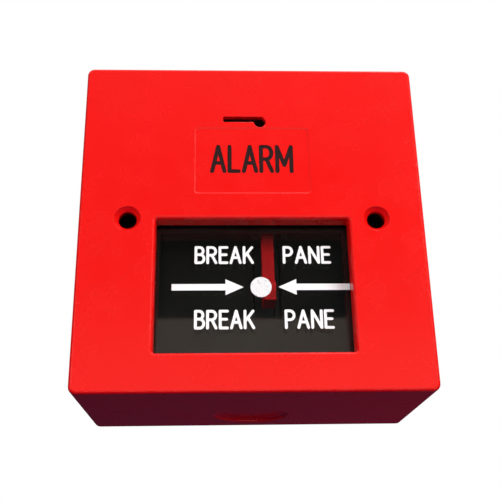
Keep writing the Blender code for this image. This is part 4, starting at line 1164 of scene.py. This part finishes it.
# %% [markdown]
# ## Light
# The light is that of a small studio. A large soft lamp stands high on the right, a weak one fills from the
# left, and a pale card stands low in front of the object. The card is what the lower part of the glass
# mirrors, and its sheen lies on the lower right of the cover. The surroundings are white to the camera and
# dim to the surfaces, so the underside stays dark.

# %% Lamps, surroundings and floor


def area_lamp(name, place, target, size, power, colour, **seen):
    lamp = bpy.data.lights.new(name, "AREA")
    lamp.shape = "RECTANGLE"
    lamp.size, lamp.size_y = size
    lamp.energy = power
    lamp.color = linear(colour)[:3]
    made = bpy.data.objects.new(name, lamp)
    made.location = place
    made.rotation_mode = "QUATERNION"
    made.rotation_quaternion = (Vector(target) - Vector(place)).to_track_quat("-Z", "Y")
    made.visible_camera = False
    for ray, on in seen.items():
        setattr(made, ray, on)
    bpy.context.scene.collection.objects.link(made)
    return made


def before_glass(tree):
    """1 where a ray has passed no glass yet. Behind the pane the room stays dark, as the wall would keep it."""
    depth = add_node(tree, "ShaderNodeLightPath").outputs["Transparent Depth"]
    return add_node(tree, "ShaderNodeMath", {0: depth, 1: 0.5}, operation="LESS_THAN").outputs[0]


area_lamp("key", (0.58, -0.70, 0.36), (0, -0.045, 0), (0.5, 0.5), 8.0, "FFFDFA", visible_glossy=False)
area_lamp("fill", (-0.55, -0.75, 0.08), (0, -0.045, 0), (0.5, 0.4), 4.0, "FFFFFF", visible_glossy=False)
area_lamp("gleam", (0.30, -0.24, 0.78), (0, -0.045, 0), (0.3, 0.3), 1.0, "FFFFFF")
area_lamp("card", (0.215, -0.65, -0.115), (0.215, -0.045, -0.115), (0.73, 0.55), 0.54, "FFE2D2")
area_lamp("low_card", (0.215, -0.66, -0.15), (0.215, -0.045, -0.15), (0.73, 0.55), 0.34, "FFE2D2")
area_lamp("under", (0.20, 0.10, -0.27), (0.02, -0.02, -0.04), (0.25, 0.25), 0.26, "FFFFFF", visible_glossy=False)
area_lamp("rim", (0.05, -0.45, -0.40), (0, -0.045, 0), (0.60, 0.04), 0.20, "FFF4F0")
area_lamp("back", (0.25, 0.65, 0.35), (0, 0, 0), (0.5, 0.5), 5.0, "FFFFFF", visible_glossy=False)

world = bpy.data.worlds.new("studio")
bpy.context.scene.world = world
world.use_nodes = True
tree = world.node_tree
tree.nodes.clear()
direction = add_node(tree, "ShaderNodeTexCoord").outputs["Generated"]
height = add_node(tree, "ShaderNodeSeparateXYZ", {0: direction}).outputs["Z"]
shares = add_node(tree, "ShaderNodeMapRange", {"Value": height, "From Min": -1.0, "From Max": 1.0}).outputs[0]
stops = [
    (0.0, (0.015, 0.004, 0.07, 1)),
    (0.5, (0.02, 0.02, 0.04, 1)),
    (0.72, (0.04, 0.04, 0.035, 1)),
    (0.95, (0.8, 0.8, 0.8, 1)),
]
sky = add_node(tree, RAMP, {"Fac": shares}, stops).outputs["Color"]
dim = add_node(tree, "ShaderNodeBackground", {"Color": sky, "Strength": 1.0})
white = add_node(tree, "ShaderNodeBackground", {"Color": (1, 1, 1, 1), "Strength": 1.0})
to_camera = add_node(tree, "ShaderNodeLightPath").outputs["Is Camera Ray"]
open_air = add_node(tree, "ShaderNodeMath", {0: to_camera, 1: before_glass(tree)}, operation="MULTIPLY").outputs[0]
mix = add_node(tree, "ShaderNodeMixShader", {0: open_air, 1: dim.outputs[0], 2: white.outputs[0]})
tree.links.new(mix.outputs[0], add_node(tree, "ShaderNodeOutputWorld").inputs["Surface"])
bpy.context.scene.view_settings.view_transform = "Standard"

material, tree, output, place = new_material("pale_painted_floor")
grain = add_node(tree, NOISE, {"Vector": place, "Scale": 1 / (12 * MM), "Detail": 3}).outputs["Fac"]
stops = [(0.3, linear("EFEFEE")), (0.7, linear("F3F3F2"))]
base = add_node(tree, RAMP, {"Fac": grain}, stops).outputs["Color"]
shader = add_node(tree, "ShaderNodeBsdfPrincipled", {"Base Color": base, "Roughness": 0.7})
# Seen through the pane the floor is painted near black: painted shade, as a wall behind the object would keep it dark.
dark = add_node(tree, "ShaderNodeBsdfDiffuse", {"Color": linear("0A0A0A")})
mix = add_node(tree, "ShaderNodeMixShader", {0: before_glass(tree), 1: dark.outputs[0], 2: shader.outputs[0]})
tree.links.new(mix.outputs[0], output.inputs["Surface"])
bm = bmesh.new()
bmesh.ops.create_grid(bm, x_segments=8, y_segments=8, size=2.0, matrix=Matrix.Translation((0, 0, -0.3)))
floor = to_object("floor", bm)
floor.data.materials.append(material)
floor.visible_diffuse = False
floor.visible_glossy = False
